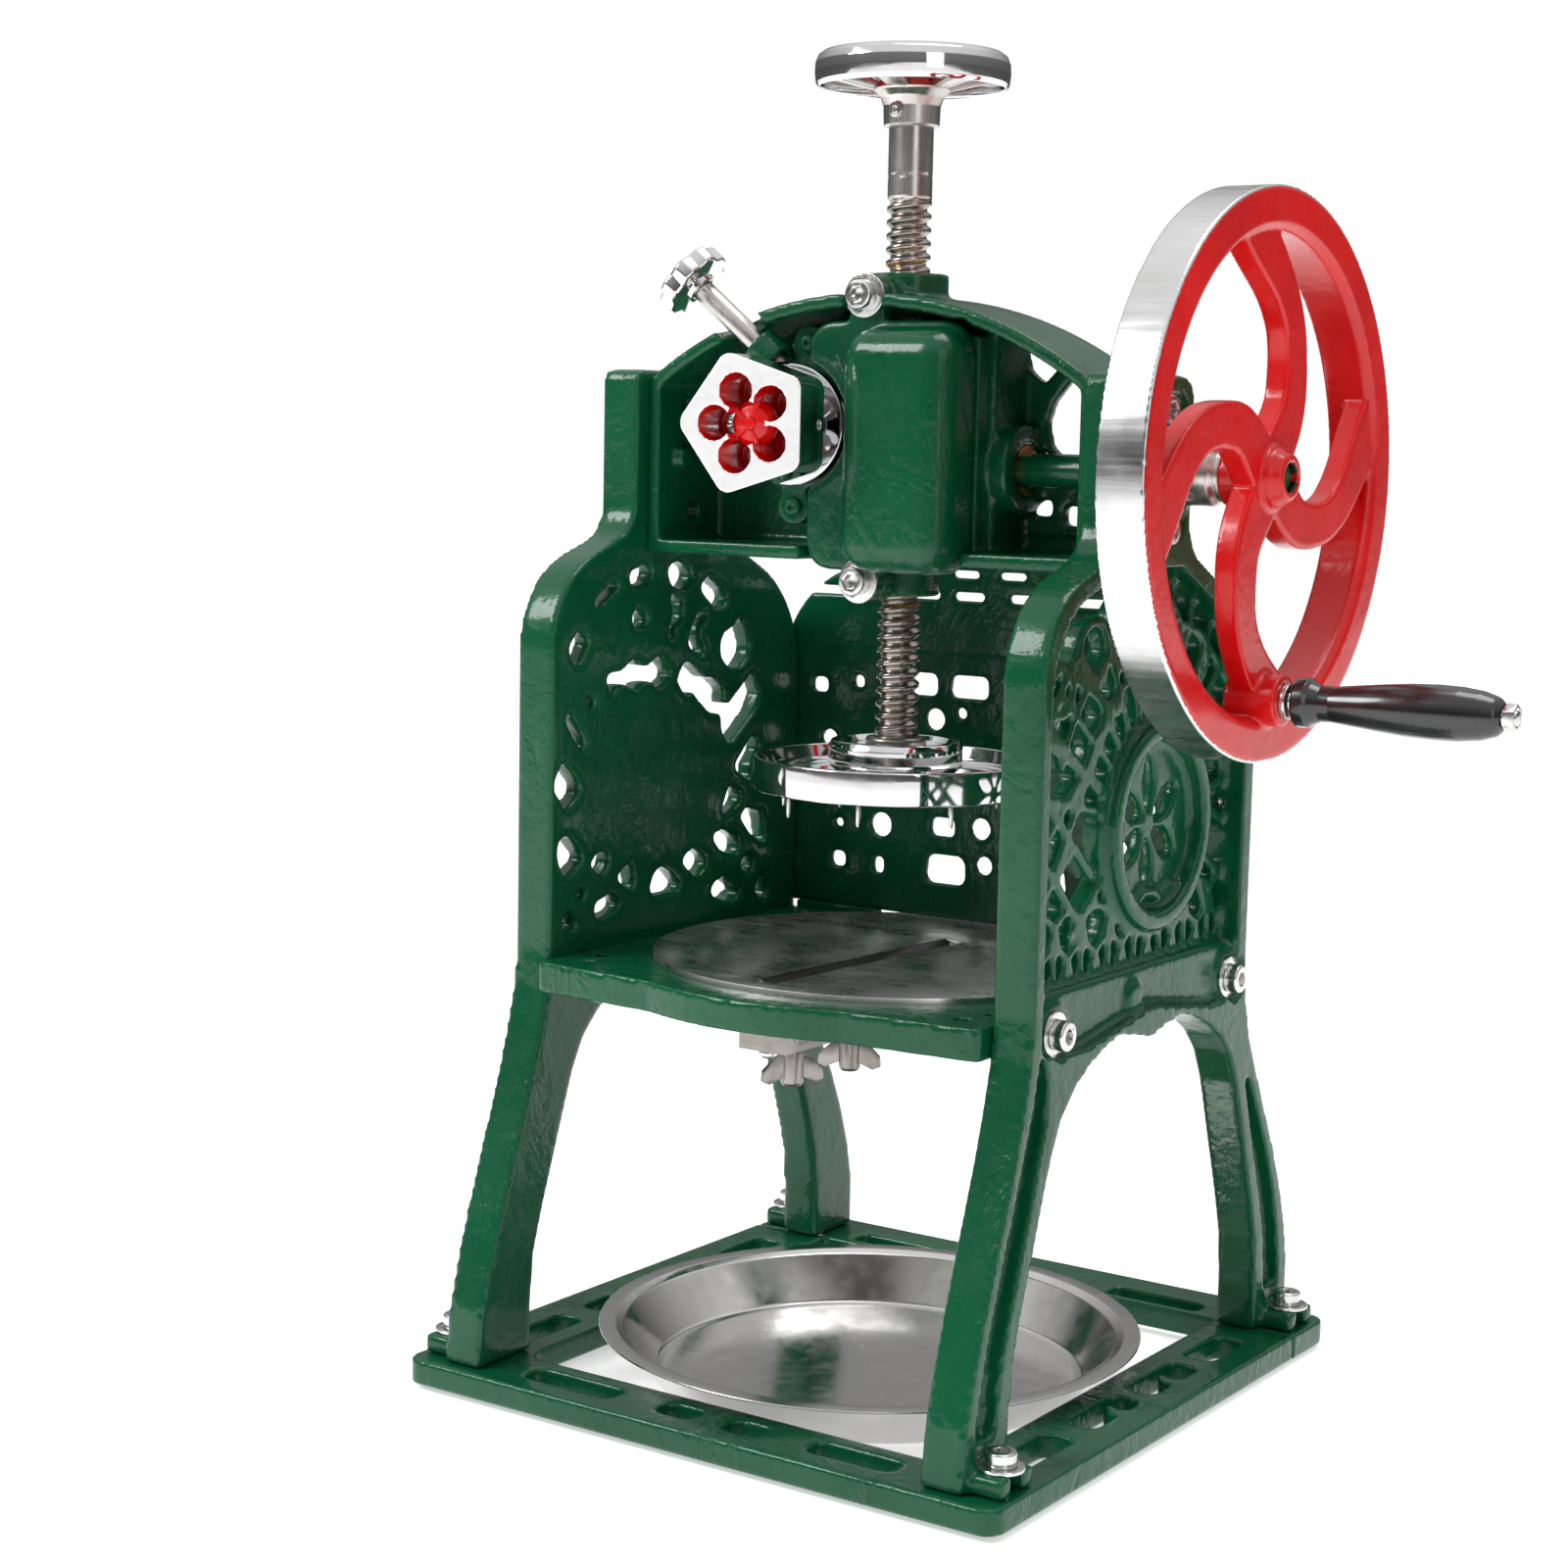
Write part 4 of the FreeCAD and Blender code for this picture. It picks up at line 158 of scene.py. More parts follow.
def green_paint(name="green_enamel", rough_cast=1.0, dark=1.0):
    """Dark green gloss enamel over sand-cast iron."""
    m, nt, b = material(name)
    tone = noise_node(nt, 9.0, 3.0)
    base = ramp(nt, tone, [(0.3, (0.0008 * dark, 0.058 * dark, 0.020 * dark)), (0.7, (0.0016 * dark, 0.088 * dark, 0.032 * dark))])
    # painted highlight: convex edges are lightened in specks to a brighter green, glints painted along the edges
    edge_glint = edge_mask(nt, 0.52, 0.6)
    glint_speck = noise_node(nt, 160.0, 2.0)
    edge_glint = math_node(nt, "MULTIPLY", edge_glint, map_range(nt, glint_speck, 0.45, 0.6, 0.35, 1.0), True)
    base = mix_color(nt, math_node(nt, "MULTIPLY", edge_glint, 0.3), base, (0.008, 0.15, 0.07))
    pits = nt.nodes.new("ShaderNodeTexVoronoi")
    pits.inputs["Scale"].default_value = 95.0
    nt.links.new(position(nt), pits.inputs["Vector"])
    pit_dent_and_shade = map_range(nt, pits.outputs["Distance"], 0.0, 0.12, 1.0, 0.0)
    where = map_range(nt, noise_node(nt, 22.0, 2.0), 0.56, 0.66, 0.0, 1.0)
    pit_dent_and_shade = math_node(nt, "MULTIPLY", pit_dent_and_shade, where)
    # painted shade: the pits are darkened to near-black green as the shade inside them; the same mask dents the
    # surface in the bump below
    base = mix_color(nt, math_node(nt, "MULTIPLY", pit_dent_and_shade, 0.7), base, (0.001, 0.012, 0.006))
    feed_to(nt, b.inputs["Base Color"], base)
    feed_to(nt, b.inputs["Roughness"], map_range(nt, noise_node(nt, 45.0, 3.0), 0.3, 0.7, 0.2, 0.36))
    b.inputs["Specular IOR Level"].default_value = 0.16
    b.inputs["Coat Weight"].default_value = 0.38
    b.inputs["Coat Roughness"].default_value = 0.07
    b.inputs["Coat IOR"].default_value = 1.5
    # orange peel, sand grain and long cast wrinkles
    peel = noise_node(nt, 230.0, 3.0, 0.5)
    lump = noise_node(nt, 60.0, 3.0, 0.6, distortion=0.8)
    wrinkle = noise_node(nt, 38.0, 5.0, 0.62, vector=position(nt, (1.0, 1.0, 0.45)), distortion=2.2)
    h = math_node(nt, "ADD", math_node(nt, "MULTIPLY", peel, 0.30), math_node(nt, "MULTIPLY", lump, 0.9))
    patch = map_range(nt, noise_node(nt, 13.0, 2.0), 0.5, 0.62, 0.0, 1.0)
    wr = map_range(nt, wrinkle, 0.44, 0.56, 0.0, 1.0)
    h = math_node(nt, "ADD", h, math_node(nt, "MULTIPLY", math_node(nt, "MULTIPLY", wr, patch), 0.35 * rough_cast))
    h = math_node(nt, "SUBTRACT", h, math_node(nt, "MULTIPLY", pit_dent_and_shade, 0.5))
    n1 = bump(nt, h, 0.75 * rough_cast, 0.0009)
    nt.links.new(n1, b.inputs["Normal"])
    nt.links.new(bump(nt, h, 0.45 * rough_cast, 0.0009), b.inputs["Coat Normal"])
    return m


def steel(name, color=(0.62, 0.61, 0.59), rough=(0.2, 0.34), grain=(1, 1, 1), grain_scale=260.0, depth=0.00006,
          spots=0.0, aniso=0.0, dark=(0.25, 0.24, 0.22)):
    """Bare steel: fine tool marks along one direction, faint blotches."""
    m, nt, b = material(name)
    b.inputs["Metallic"].default_value = 1.0
    line = noise_node(nt, grain_scale, 4.0, 0.6, vector=position(nt, grain))
    cloud = noise_node(nt, 34.0, 4.0, 0.6)
    c = mix_color(nt, map_range(nt, cloud, 0.42, 0.72, 0.0, max(0.16, spots)), color, dark)
    feed_to(nt, b.inputs["Base Color"], c)
    r = map_range(nt, line, 0.3, 0.7, rough[0], rough[1])
    r = math_node(nt, "ADD", r, map_range(nt, cloud, 0.4, 0.75, -0.03, 0.1))
    feed_to(nt, b.inputs["Roughness"], r)
    if aniso:
        b.inputs["Anisotropic"].default_value = aniso
    nt.links.new(bump(nt, line, 0.5, depth), b.inputs["Normal"])
    return m


def red_paint():
    m, nt, b = material("red_enamel")
    tone = noise_node(nt, 16.0, 3.0)
    base = ramp(nt, tone, [(0.3, (0.50, 0.002, 0.003)), (0.7, (0.66, 0.005, 0.005))])
    feed_to(nt, b.inputs["Base Color"], base)
    feed_to(nt, b.inputs["Roughness"], map_range(nt, noise_node(nt, 60.0, 3.0), 0.3, 0.7, 0.22, 0.36))
    b.inputs["Specular IOR Level"].default_value = 0.3
    b.inputs["Coat Weight"].default_value = 0.35
    b.inputs["Coat Roughness"].default_value = 0.1
    h = math_node(nt, "ADD", math_node(nt, "MULTIPLY", noise_node(nt, 210.0, 3.0), 0.35), noise_node(nt, 48.0, 3.0, 0.6, distortion=0.6))
    nt.links.new(bump(nt, h, 0.5, 0.0006), b.inputs["Normal"])
    nt.links.new(bump(nt, h, 0.3, 0.0006), b.inputs["Coat Normal"])
    return m


def dark_plastic():
    m, nt, b = material("black_lacquer")
    tone = noise_node(nt, 30.0, 3.0, vector=position(nt, (0.3, 1, 1)))
    feed_to(nt, b.inputs["Base Color"], ramp(nt, tone, [(0.3, (0.004, 0.004, 0.005)), (0.7, (0.012, 0.012, 0.013))]))
    feed_to(nt, b.inputs["Roughness"], map_range(nt, noise_node(nt, 120.0, 4.0), 0.3, 0.7, 0.16, 0.3))
    b.inputs["Coat Weight"].default_value = 0.5
    b.inputs["Coat Roughness"].default_value = 0.1
    nt.links.new(bump(nt, noise_node(nt, 180.0, 3.0), 0.25, 0.0003), b.inputs["Normal"])
    return m


def rubber():
    m, nt, b = material("black_rubber")
    feed_to(nt, b.inputs["Base Color"], ramp(nt, noise_node(nt, 90.0, 3.0), [(0.3, (0.012, 0.012, 0.012)), (0.7, (0.03, 0.03, 0.03))]))
    b.inputs["Roughness"].default_value = 0.62
    nt.links.new(bump(nt, noise_node(nt, 700.0, 3.0), 0.4, 0.0002), b.inputs["Normal"])
    return m


GREEN = green_paint()
GREEN_ROUGH = green_paint("green_rough_cast", 1.6)
RED = red_paint()
BRIGHT = steel("bright_zinc", (0.66, 0.66, 0.65), (0.14, 0.26), grain_scale=420.0)
CHROME = steel("chrome_plate", (0.72, 0.72, 0.73), (0.035, 0.085), grain_scale=120.0, depth=0.00002)
OILED = steel("oiled_steel", (0.40, 0.36, 0.32), (0.16, 0.30), grain_scale=300.0, spots=0.5, dark=(0.09, 0.07, 0.055))
SLEEVE = steel("worn_steel", (0.56, 0.53, 0.50), (0.2, 0.34), grain=(1, 1, 0.05), grain_scale=260.0, spots=0.35)
MACHINED = steel("machined_rim", (0.70, 0.70, 0.70), (0.15, 0.27), grain=(0.05, 1, 1), grain_scale=420.0, spots=0.2)
PLATE = steel("brushed_plate", (0.80, 0.785, 0.76), (0.24, 0.34), grain=(0.15, 1, 1), grain_scale=240.0, spots=0.05, dark=(0.55, 0.53, 0.50))
TRAY = steel("pressed_steel", (0.63, 0.62, 0.61), (0.12, 0.22), grain_scale=140.0, depth=0.00003)
# painted shade: near-black metal for the flywheel bore round the shaft, the shade in the hole put in as colour
BORE_SHADE_METAL = steel("bore_painted_shade", (0.05, 0.04, 0.035), (0.4, 0.6), grain_scale=300.0, dark=(0.02, 0.015, 0.01))
BRONZE = steel("bronze", (0.52, 0.35, 0.15), (0.2, 0.35), grain_scale=300.0, dark=(0.2, 0.12, 0.05))
BLACK = dark_plastic()
RUBBER = rubber()

# ---------------------------------------------------------------- mesh helpers


def new_object(name, me):
    ob = bpy.data.objects.new(name, me)
    scene.collection.objects.link(ob)
    return ob


def apply_modifiers(ob):
    bpy.context.view_layer.update()
    dg = bpy.context.evaluated_depsgraph_get()
    me = bpy.data.meshes.new_from_object(ob.evaluated_get(dg))
    ob.modifiers.clear()
    old = ob.data
    ob.data = me
    bpy.data.meshes.remove(old)
    return ob


def copy_of(node, name):
    me = NODES[node].data.copy()
    me.materials.clear()
    bm = bmesh.new()
    bm.from_mesh(me)
    bmesh.ops.remove_doubles(bm, verts=bm.verts, dist=2e-6)
    bm.to_mesh(me)
    bm.free()
    if me.has_custom_normals:
        me.normals_split_custom_set([(0, 0, 0)] * len(me.loops))
    for a in ("custom_normal", "sharp_edge", "sharp_face"):
        if a in me.attributes:
            me.attributes.remove(me.attributes[a])
    return new_object(name, me)


def smooth_shade(ob, angle=None):
    me = ob.data
    me.polygons.foreach_set("use_smooth", [True] * len(me.polygons))
    if angle is not None:
        me.set_sharp_from_angle(angle=math.radians(angle))
    me.update()


def finish_piece(ob, mat, body, slot, *nodes):
    ob.data.materials.clear()
    ob.data.materials.append(mat)
    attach(ob, body)
    if nodes:
        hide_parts(*nodes)
    return ob


def cast_mesh(node, name, voxel=1.4, rounds=4, limit=190000):
    """The casting with every edge rounded as sand-cast iron is: voxels, then smoothing."""
    ob = copy_of(node, name)
    m = ob.modifiers.new("r", "REMESH")
    m.mode = "VOXEL"
    m.voxel_size = voxel * MM
    m.adaptivity = 0.0
    apply_modifiers(ob)
    s = ob.modifiers.new("s", "SMOOTH")
    s.factor = 0.5
    s.iterations = rounds
    apply_modifiers(ob)
    tris = sum(len(p.vertices) - 2 for p in ob.data.polygons)
    if tris > limit:
        d = ob.modifiers.new("d", "DECIMATE")
        d.ratio = limit / tris
        apply_modifiers(ob)
    smooth_shade(ob)
    return ob


def hard_mesh(node, name, width=0.4, segments=2, angle=32):
    """A machined piece with its sharp edges just broken."""
    ob = copy_of(node, name)
    bm = bmesh.new()
    bm.from_mesh(ob.data)
    bmesh.ops.dissolve_limit(bm, angle_limit=math.radians(0.6), verts=bm.verts, edges=bm.edges)
    bm.to_mesh(ob.data)
    bm.free()
    b = ob.modifiers.new("b", "BEVEL")
    b.width = width * MM
    b.segments = segments
    b.limit_method = "ANGLE"
    b.angle_limit = math.radians(angle)
    b.use_clamp_overlap = True
    b.miter_outer = "MITER_ARC"
    b.harden_normals = False
    apply_modifiers(ob)
    smooth_shade(ob, 40)
    return ob


def lathe(name, profile, centre=(0, 0, 0), axis=(0, 0, 1), steps=192, closed=False):
    """Turned piece: (radius, height) points in millimetres round an axis."""
    bm = bmesh.new()
    q = Vector((0, 0, 1)).rotation_difference(Vector(axis).normalized())
    c = Vector(centre)
    rows = []
    for r, z in profile:
        if r < 1e-6:
            rows.append([bm.verts.new((c + q @ Vector((0, 0, z))) * MM)])
            continue
        rows.append([bm.verts.new((c + q @ Vector((r * math.cos(2 * math.pi * k / steps), r * math.sin(2 * math.pi * k / steps), z))) * MM)
                     for k in range(steps)])
    pairs = list(zip(rows, rows[1:]))
    if closed:
        pairs.append((rows[-1], rows[0]))
    for a, b in pairs:
        for k in range(steps):
            j = (k + 1) % steps
            if len(a) == 1 and len(b) == 1:
                break
            if len(a) == 1:
                bm.faces.new((a[0], b[j], b[k]))
            elif len(b) == 1:
                bm.faces.new((a[k], a[j], b[0]))
            else:
                bm.faces.new((a[k], a[j], b[j], b[k]))
    bmesh.ops.recalc_face_normals(bm, faces=bm.faces)
    me = bpy.data.meshes.new(name)
    bm.to_mesh(me)
    bm.free()
    ob = new_object(name, me)
    smooth_shade(ob, 38)
    return ob


def rounded(points, radius, n=4):
    """Profile with its corners rounded: (r, z) or (r, z, corner radius)."""
    out = []
    for i, p in enumerate(points):
        rad = p[2] if len(p) > 2 else radius
        if i in (0, len(points) - 1) or rad <= 0:
            out.append((p[0], p[1]))
            continue
        a, b, c = Vector(points[i - 1][:2]), Vector(p[:2]), Vector(points[i + 1][:2])
        u, v = (a - b), (c - b)
        if u.length < 1e-6 or v.length < 1e-6:
            out.append((p[0], p[1]))
            continue
        ang = u.angle(v)
        if ang > math.radians(176):
            out.append((p[0], p[1]))
            continue
        t = min(rad / math.tan(ang / 2), u.length * 0.48, v.length * 0.48)
        s, e = b + u.normalized() * t, b + v.normalized() * t
        for k in range(n + 1):
            f = k / n
            q = s.lerp(b, f).lerp(b.lerp(e, f), f)
            out.append((q.x, q.y))
    return out


def assign(ob, mats, chooser):
    me = ob.data
    me.materials.clear()
    for m in mats:
        me.materials.append(m)
    for p in me.polygons:
        p.material_index = chooser(p.center * 1000.0, p.normal)
    me.update()


# ---------------------------------------------------------------- castings

CASTINGS = [("base_frame", 1.5, 3), ("base_rear_bar", 1.3, 3), ("left_side_frame", 1.7, 3), ("right_side_frame", 1.7, 3),
            ("back_panel", 1.15, 2), ("table_casting", 1.3, 3), ("top_bridge", 1.5, 3), ("gear_case_cover", 1.1, 14),
            ("feed_cap", 0.8, 3)]
for node, voxel, rounds in CASTINGS:
    ob = cast_mesh(node, node + "_enamelled", voxel, rounds)
    finish_piece(ob, GREEN_ROUGH if node in ("base_frame", "table_casting") else GREEN, "stand", "green_cast", node)

# ---------------------------------------------------------------- flywheel

WHEEL = Vector((0, 0, 420))
wheel = cast_mesh("flywheel", "flywheel_enamelled", 0.95, 4)
for v in wheel.data.vertices:
    p = v.co * 1000.0
    r = math.hypot(p.y, p.z - 420)
    if r > 118.9 and 162.6 < p.x < 183.4:
        k = 119.5 / r
        v.co.y = p.y * k * MM
        v.co.z = (420 + (p.z - 420) * k) * MM


def wheel_zone(c, n):
    r = math.hypot(c.y, c.z - 420)
    if r > 118.6:
        return 1
    if r < 6.6:
        # the bore faces round the shaft take the painted-shade metal
        return 2
    return 0


assign(wheel, [RED, MACHINED, BORE_SHADE_METAL], wheel_zone)
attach(wheel, "crank")
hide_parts("flywheel")

# ---------------------------------------------------------------- feed screw with its helical thread


def thread_mesh():
    low, high, z0, z1, pitch = 273.0, 584.0, 299.0, 539.5, 6.0
    angles = [2 * math.pi * k / 72 for k in range(72)]
    cols = []
    bm = bmesh.new()
    turns = int((high - low) / pitch) + 3
    offs = [(0.75, 10.0), (0.95, 9.86), (2.2, 8.15), (2.55, 8.0), (3.45, 8.0), (3.8, 8.15), (5.05, 9.86), (5.25, 10.0)]

    def radius(z, r):
        f = min(1.0, max(0.0, (z - z0) / 3.0), 1.0) * min(1.0, max(0.0, (z1 - z) / 3.0))
        return 10.0 + (r - 10.0) * f

    for t in angles:
        col = []
        for k in range(-1, turns):
            for off, r in offs:
                z = low + pitch * (k + t / (2 * math.pi)) + off
                zz = min(max(z, low), high)
                rr = radius(zz, r) if low < z < high else 10.0
                if 548.6 < zz < 549.6:
                    rr = 9.8
                if abs(zz - high) < 1e-6:
                    rr = 9.6
                x, y = rr * math.cos(t), rr * math.sin(t)
                if abs(x) < 2.2 and y > 7.45 and 300 < zz < 538:
                    y = 7.45
                col.append(bm.verts.new((x * MM, y * MM, zz * MM)))
        cols.append(col)
    n = len(cols[0])
    step = len(offs)
    for i in range(72):
        a, b = cols[i], cols[(i + 1) % 72]
        shift = step if i == 71 else 0
        for j in range(n - 1):
            jj = j - shift
            if i == 71:
                if jj < 0 or jj + 1 >= n:
                    continue
            bm.faces.new((a[jj] if i == 71 else a[j], b[j], b[j + 1], a[jj + 1] if i == 71 else a[j + 1]))
    bmesh.ops.remove_doubles(bm, verts=bm.verts, dist=3e-6)
    bmesh.ops.dissolve_degenerate(bm, dist=3e-6, edges=bm.edges)
    rims = [e for e in bm.edges if e.is_boundary]
    bmesh.ops.holes_fill(bm, edges=rims, sides=0)
    bmesh.ops.recalc_face_normals(bm, faces=bm.faces)
    me = bpy.data.meshes.new("feed_screw_threaded")
    bm.to_mesh(me)
    bm.free()
    ob = new_object("feed_screw_threaded", me)
    smooth_shade(ob, 50)
    return ob


screw = thread_mesh()
assign(screw, [OILED, SLEEVE], lambda c, n: 1 if c.z > 538.5 else 0)
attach(screw, "spindle")
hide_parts("feed_screw")

# ---------------------------------------------------------------- machined pieces

DARK_BLADE = steel("blade_steel", (0.16, 0.15, 0.14), (0.2, 0.36), grain=(1, 0.1, 1), grain_scale=300.0, spots=0.4, dark=(0.05, 0.045, 0.04))
GEAR = steel("gear_steel", (0.34, 0.33, 0.31), (0.22, 0.4), grain_scale=240.0, spots=0.4)
DULL = steel("dull_steel", (0.30, 0.28, 0.26), (0.26, 0.4), grain_scale=300.0, spots=0.4, dark=(0.16, 0.13, 0.1))
GREEN_SMOOTH = green_paint("green_on_machined", 0.35)

HARD = [
    ("foot_bolts", BRIGHT, "stand", "bright_steel", 0.35), ("foot_washers", BRIGHT, "stand", "bright_steel", 0.3),
    ("table_bolts", BRIGHT, "stand", "bright_steel", 0.35), ("table_washers", BRIGHT, "stand", "bright_steel", 0.3),
    ("bridge_bolts", BRIGHT, "stand", "bright_steel", 0.35), ("bridge_washers", BRIGHT, "stand", "bright_steel", 0.3),
    ("cover_bolts", BRIGHT, "stand", "bright_steel", 0.35), ("cover_washers", BRIGHT, "stand", "bright_steel", 0.3),
    ("feed_cap_bolts", GREEN_SMOOTH, "stand", "green_cast", 0.3), ("rear_bar_screws", BRIGHT, "stand", "bright_steel", 0.3),
    ("back_panel_screws", BRIGHT, "stand", "bright_steel", 0.3), ("bracket_screws", BRIGHT, "stand", "bright_steel", 0.2),
    ("blade_plate", PLATE, "stand", "brushed_plate", 0.35), ("blade", DARK_BLADE, "blade", "bright_steel", 0.15),
    ("blade_bracket", DULL, "stand", "bright_steel", 0.5),
    ("blade_screw_left", DULL, "blade_screw_left", "bright_steel", 0.5),
    ("blade_screw_right", DULL, "blade_screw_right", "bright_steel", 0.5),
    ("shaft_collar", SLEEVE, "crank", "bright_steel", 0.4), ("crank_shaft", GREEN_SMOOTH, "crank", "green_cast", 0.3),
    ("handle_pin", BRIGHT, "crank", "bright_steel", 0.3), ("handle_nut", BRIGHT, "crank", "bright_steel", 0.3),
    ("brake_drum", CHROME, "knob", "chrome", 0.3), ("brake_knob", CHROME, "brake_screw", "chrome", 0.5),
    ("brake_screw", SLEEVE, "brake_screw", "bright_steel", 0.3),
    ("presser_nut", DULL, "spindle", "bright_steel", 0.4), ("ice_spikes", BRIGHT, "spindle", "bright_steel", 0.2),
    ("handwheel_grub_screw", BRIGHT, "spindle", "bright_steel", 0.2), ("rubber_feet", RUBBER, "stand", "rubber", 0.3),
]
for node, mat, body, slot, width in HARD:
    finish_piece(hard_mesh(node, node + "_finished", width), mat, body, slot, node)

# turned chrome pieces
presser = lathe("presser_disc_polished", rounded([(10.03, 273), (65, 273, 0.9), (65, 288, 1.1), (62.4, 288, 1.0), (60.5, 281, 3.0),
                                                  (57, 279.5, 2.5), (10.03, 279.5)], 0.6), closed=True, steps=256)
finish_piece(presser, CHROME, "spindle", "chrome", "presser_disc")
collar = lathe("presser_collar_polished", rounded([(10.03, 279.52), (27, 279.52), (27, 281.2, 0.6), (31, 284.8, 2.2), (31, 293, 1.5), (29.4, 296, 1.2),
                                                   (26.2, 296, 0.8), (24, 293.4, 1.2), (10.03, 293.4)], 0.5), closed=True, steps=192)
finish_piece(collar, CHROME, "spindle", "chrome", "presser_collar")
tray = lathe("ice_tray_pressed", rounded([(0, 0.3), (97, 0.3, 2), (101, 1.5, 3), (116, 21.7, 3), (119, 23.1, 1.5), (125, 22.9, 0.5), (126, 23.5, 0.6),
                                          (125.6, 24.3, 0.4), (118.2, 24.3, 2.0), (114.2, 22.4, 3), (99.2, 2.2, 4), (96, 1.5, 3), (0, 1.5)], 0.5, 5),
             centre=(0, -10.7, 0), steps=256)
finish_piece(tray, TRAY, "tray", "bright_steel", "ice_tray")

# grip, turned and lacquered
grip = lathe("grip_lacquered", rounded([(4.1, 197.9), (10.2, 197.9, 0.5), (10.5, 199, 0.8), (10.5, 203.2, 0.8), (9.2, 204.7, 1), (7.6, 208.7, 3),
                                        (7.6, 213.7, 6), (8.6, 222.7, 12), (9.9, 234.7, 14), (11, 246.7, 14), (11.45, 258.7, 14), (11.2, 268.7, 12),
                                        (10.1, 277.7, 8), (8, 284.5, 5), (5.8, 286.4, 1), (5, 286.8, 0.4), (4.1, 286.8)], 0.4, 6),
             centre=(0, 0, 327), axis=(1, 0, 0), steps=96, closed=True)
finish_piece(grip, BLACK, "grip", "black_plastic", "grip")

# five-sided feed knob: polished outside, enamelled red inside its flower recess
FEED_O = Vector((-44.3, -7.8, 438.0))
FEED_A = Vector((math.sin(math.radians(10)), -math.cos(math.radians(10)), 0))
FEED_B = Vector((math.cos(math.radians(10)), math.sin(math.radians(10)), 0))


def knob_zone(c, n):
    d = c - FEED_O
    s, u, w = d.dot(FEED_A), d.dot(FEED_B), d.z
    r = math.hypot(u, w)
    if s > 47.0 and r < 23.2 and not (n.dot(FEED_A) > 0.9 and s > 73.2):
        return 1
    if n.dot(FEED_A) > 0.8 and s > 70.0:
        return 2
    return 0


FACE = steel("milled_face", (0.86, 0.86, 0.86), (0.42, 0.52), grain_scale=420.0)
knob = cast_mesh("feed_knob", "feed_knob_finished", 0.42, 3)
assign(knob, [CHROME, RED, FACE], knob_zone)
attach(knob, "knob")
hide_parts("feed_knob")

star = lathe("knob_star_hub", rounded([(0, 68.6), (2.4, 68.6, 0.8), (3.2, 67.4, 0.8), (7.6, 66.5, 1.5), (10.4, 63.5, 1.5), (10.6, 60.5, 0.5), (0, 60.5)], 0.5),
             centre=FEED_O, axis=FEED_A, steps=72)
finish_piece(star, RED, "knob", "red_and_steel")


def prism(name, corners, bevel):
    """Eight corners, bottom four then top four, edges rounded."""
    bm = bmesh.new()
    vs = [bm.verts.new(Vector(c) * MM) for c in corners]
    for f in ((3, 2, 1, 0), (4, 5, 6, 7), (0, 1, 5, 4), (1, 2, 6, 5), (2, 3, 7, 6), (3, 0, 4, 7)):
        bm.faces.new([vs[i] for i in f])
    bmesh.ops.recalc_face_normals(bm, faces=bm.faces)
    me = bpy.data.meshes.new(name)
    bm.to_mesh(me)
    bm.free()
    ob = new_object(name, me)
    b = ob.modifiers.new("b", "BEVEL")
    b.width = bevel * MM
    b.segments = 3
    apply_modifiers(ob)
    smooth_shade(ob, 45)
    return ob


for k in range(5):
    q = math.radians(144 + 72 * k)
    rad = FEED_B * math.cos(q) + Vector((0, 0, math.sin(q)))
    tan = -FEED_B * math.sin(q) + Vector((0, 0, math.cos(q)))
    pts = []
    for s0, s1 in ((60.5, 60.5), (67.9, 66.4)):
        for r, w, sv in ((1.5, 0.9, s0), (14.6, 1.4, s1)):
            pts.append((r, -w, sv))
        for r, w, sv in ((14.6, 1.4, s1), (1.5, 0.9, s0)):
            pts.append((r, w, sv))
    rib = prism("knob_star_rib_%d" % k, [FEED_O + rad * r + tan * w + FEED_A * sv for r, w, sv in pts], 0.6)
    finish_piece(rib, RED, "knob", "red_and_steel")

# table: rear lips under the back panel, and a cast rim round the blade plate where it reaches past them
for k in (-1, 1):
    x0, x1 = sorted((k * 65.5, k * 114.0))
    lip = prism("table_rear_lip_%s" % ("left" if k < 0 else "right"),
                [(x0, 89.7, 184), (x1, 89.7, 184), (x1, 95.6, 184), (x0, 95.6, 184),
                 (x0, 89.7, 198.3), (x1, 89.7, 198.3), (x1, 95.6, 198.3), (x0, 95.6, 198.3)], 1.0)
    finish_piece(lip, GREEN_ROUGH, "stand", "green_cast")
bm = bmesh.new()
rings = []
for k in range(73):
    q = math.radians(53 + 74 * k / 72)
    rings.append([bm.verts.new(Vector((r * math.cos(q), r * math.sin(q), z)) * MM) for r, z in ((110.4, 183.5), (114.2, 183.5), (113.6, 196.0), (110.4, 196.0))])
for a, b in zip(rings, rings[1:]):
    for i in range(4):
        bm.faces.new((a[i], a[(i + 1) % 4], b[(i + 1) % 4], b[i]))
bm.faces.new(rings[0][::-1])
bm.faces.new(rings[-1])
bmesh.ops.recalc_face_normals(bm, faces=bm.faces)
me = bpy.data.meshes.new("table_rear_rim")
bm.to_mesh(me)
bm.free()
ledge = new_object("table_rear_rim", me)
soften = ledge.modifiers.new("b", "BEVEL")
soften.width = 0.9 * MM
soften.segments = 3
soften.limit_method = "ANGLE"
soften.angle_limit = math.radians(40)
apply_modifiers(ledge)
smooth_shade(ledge, 45)
finish_piece(ledge, GREEN_ROUGH, "stand", "green_cast")

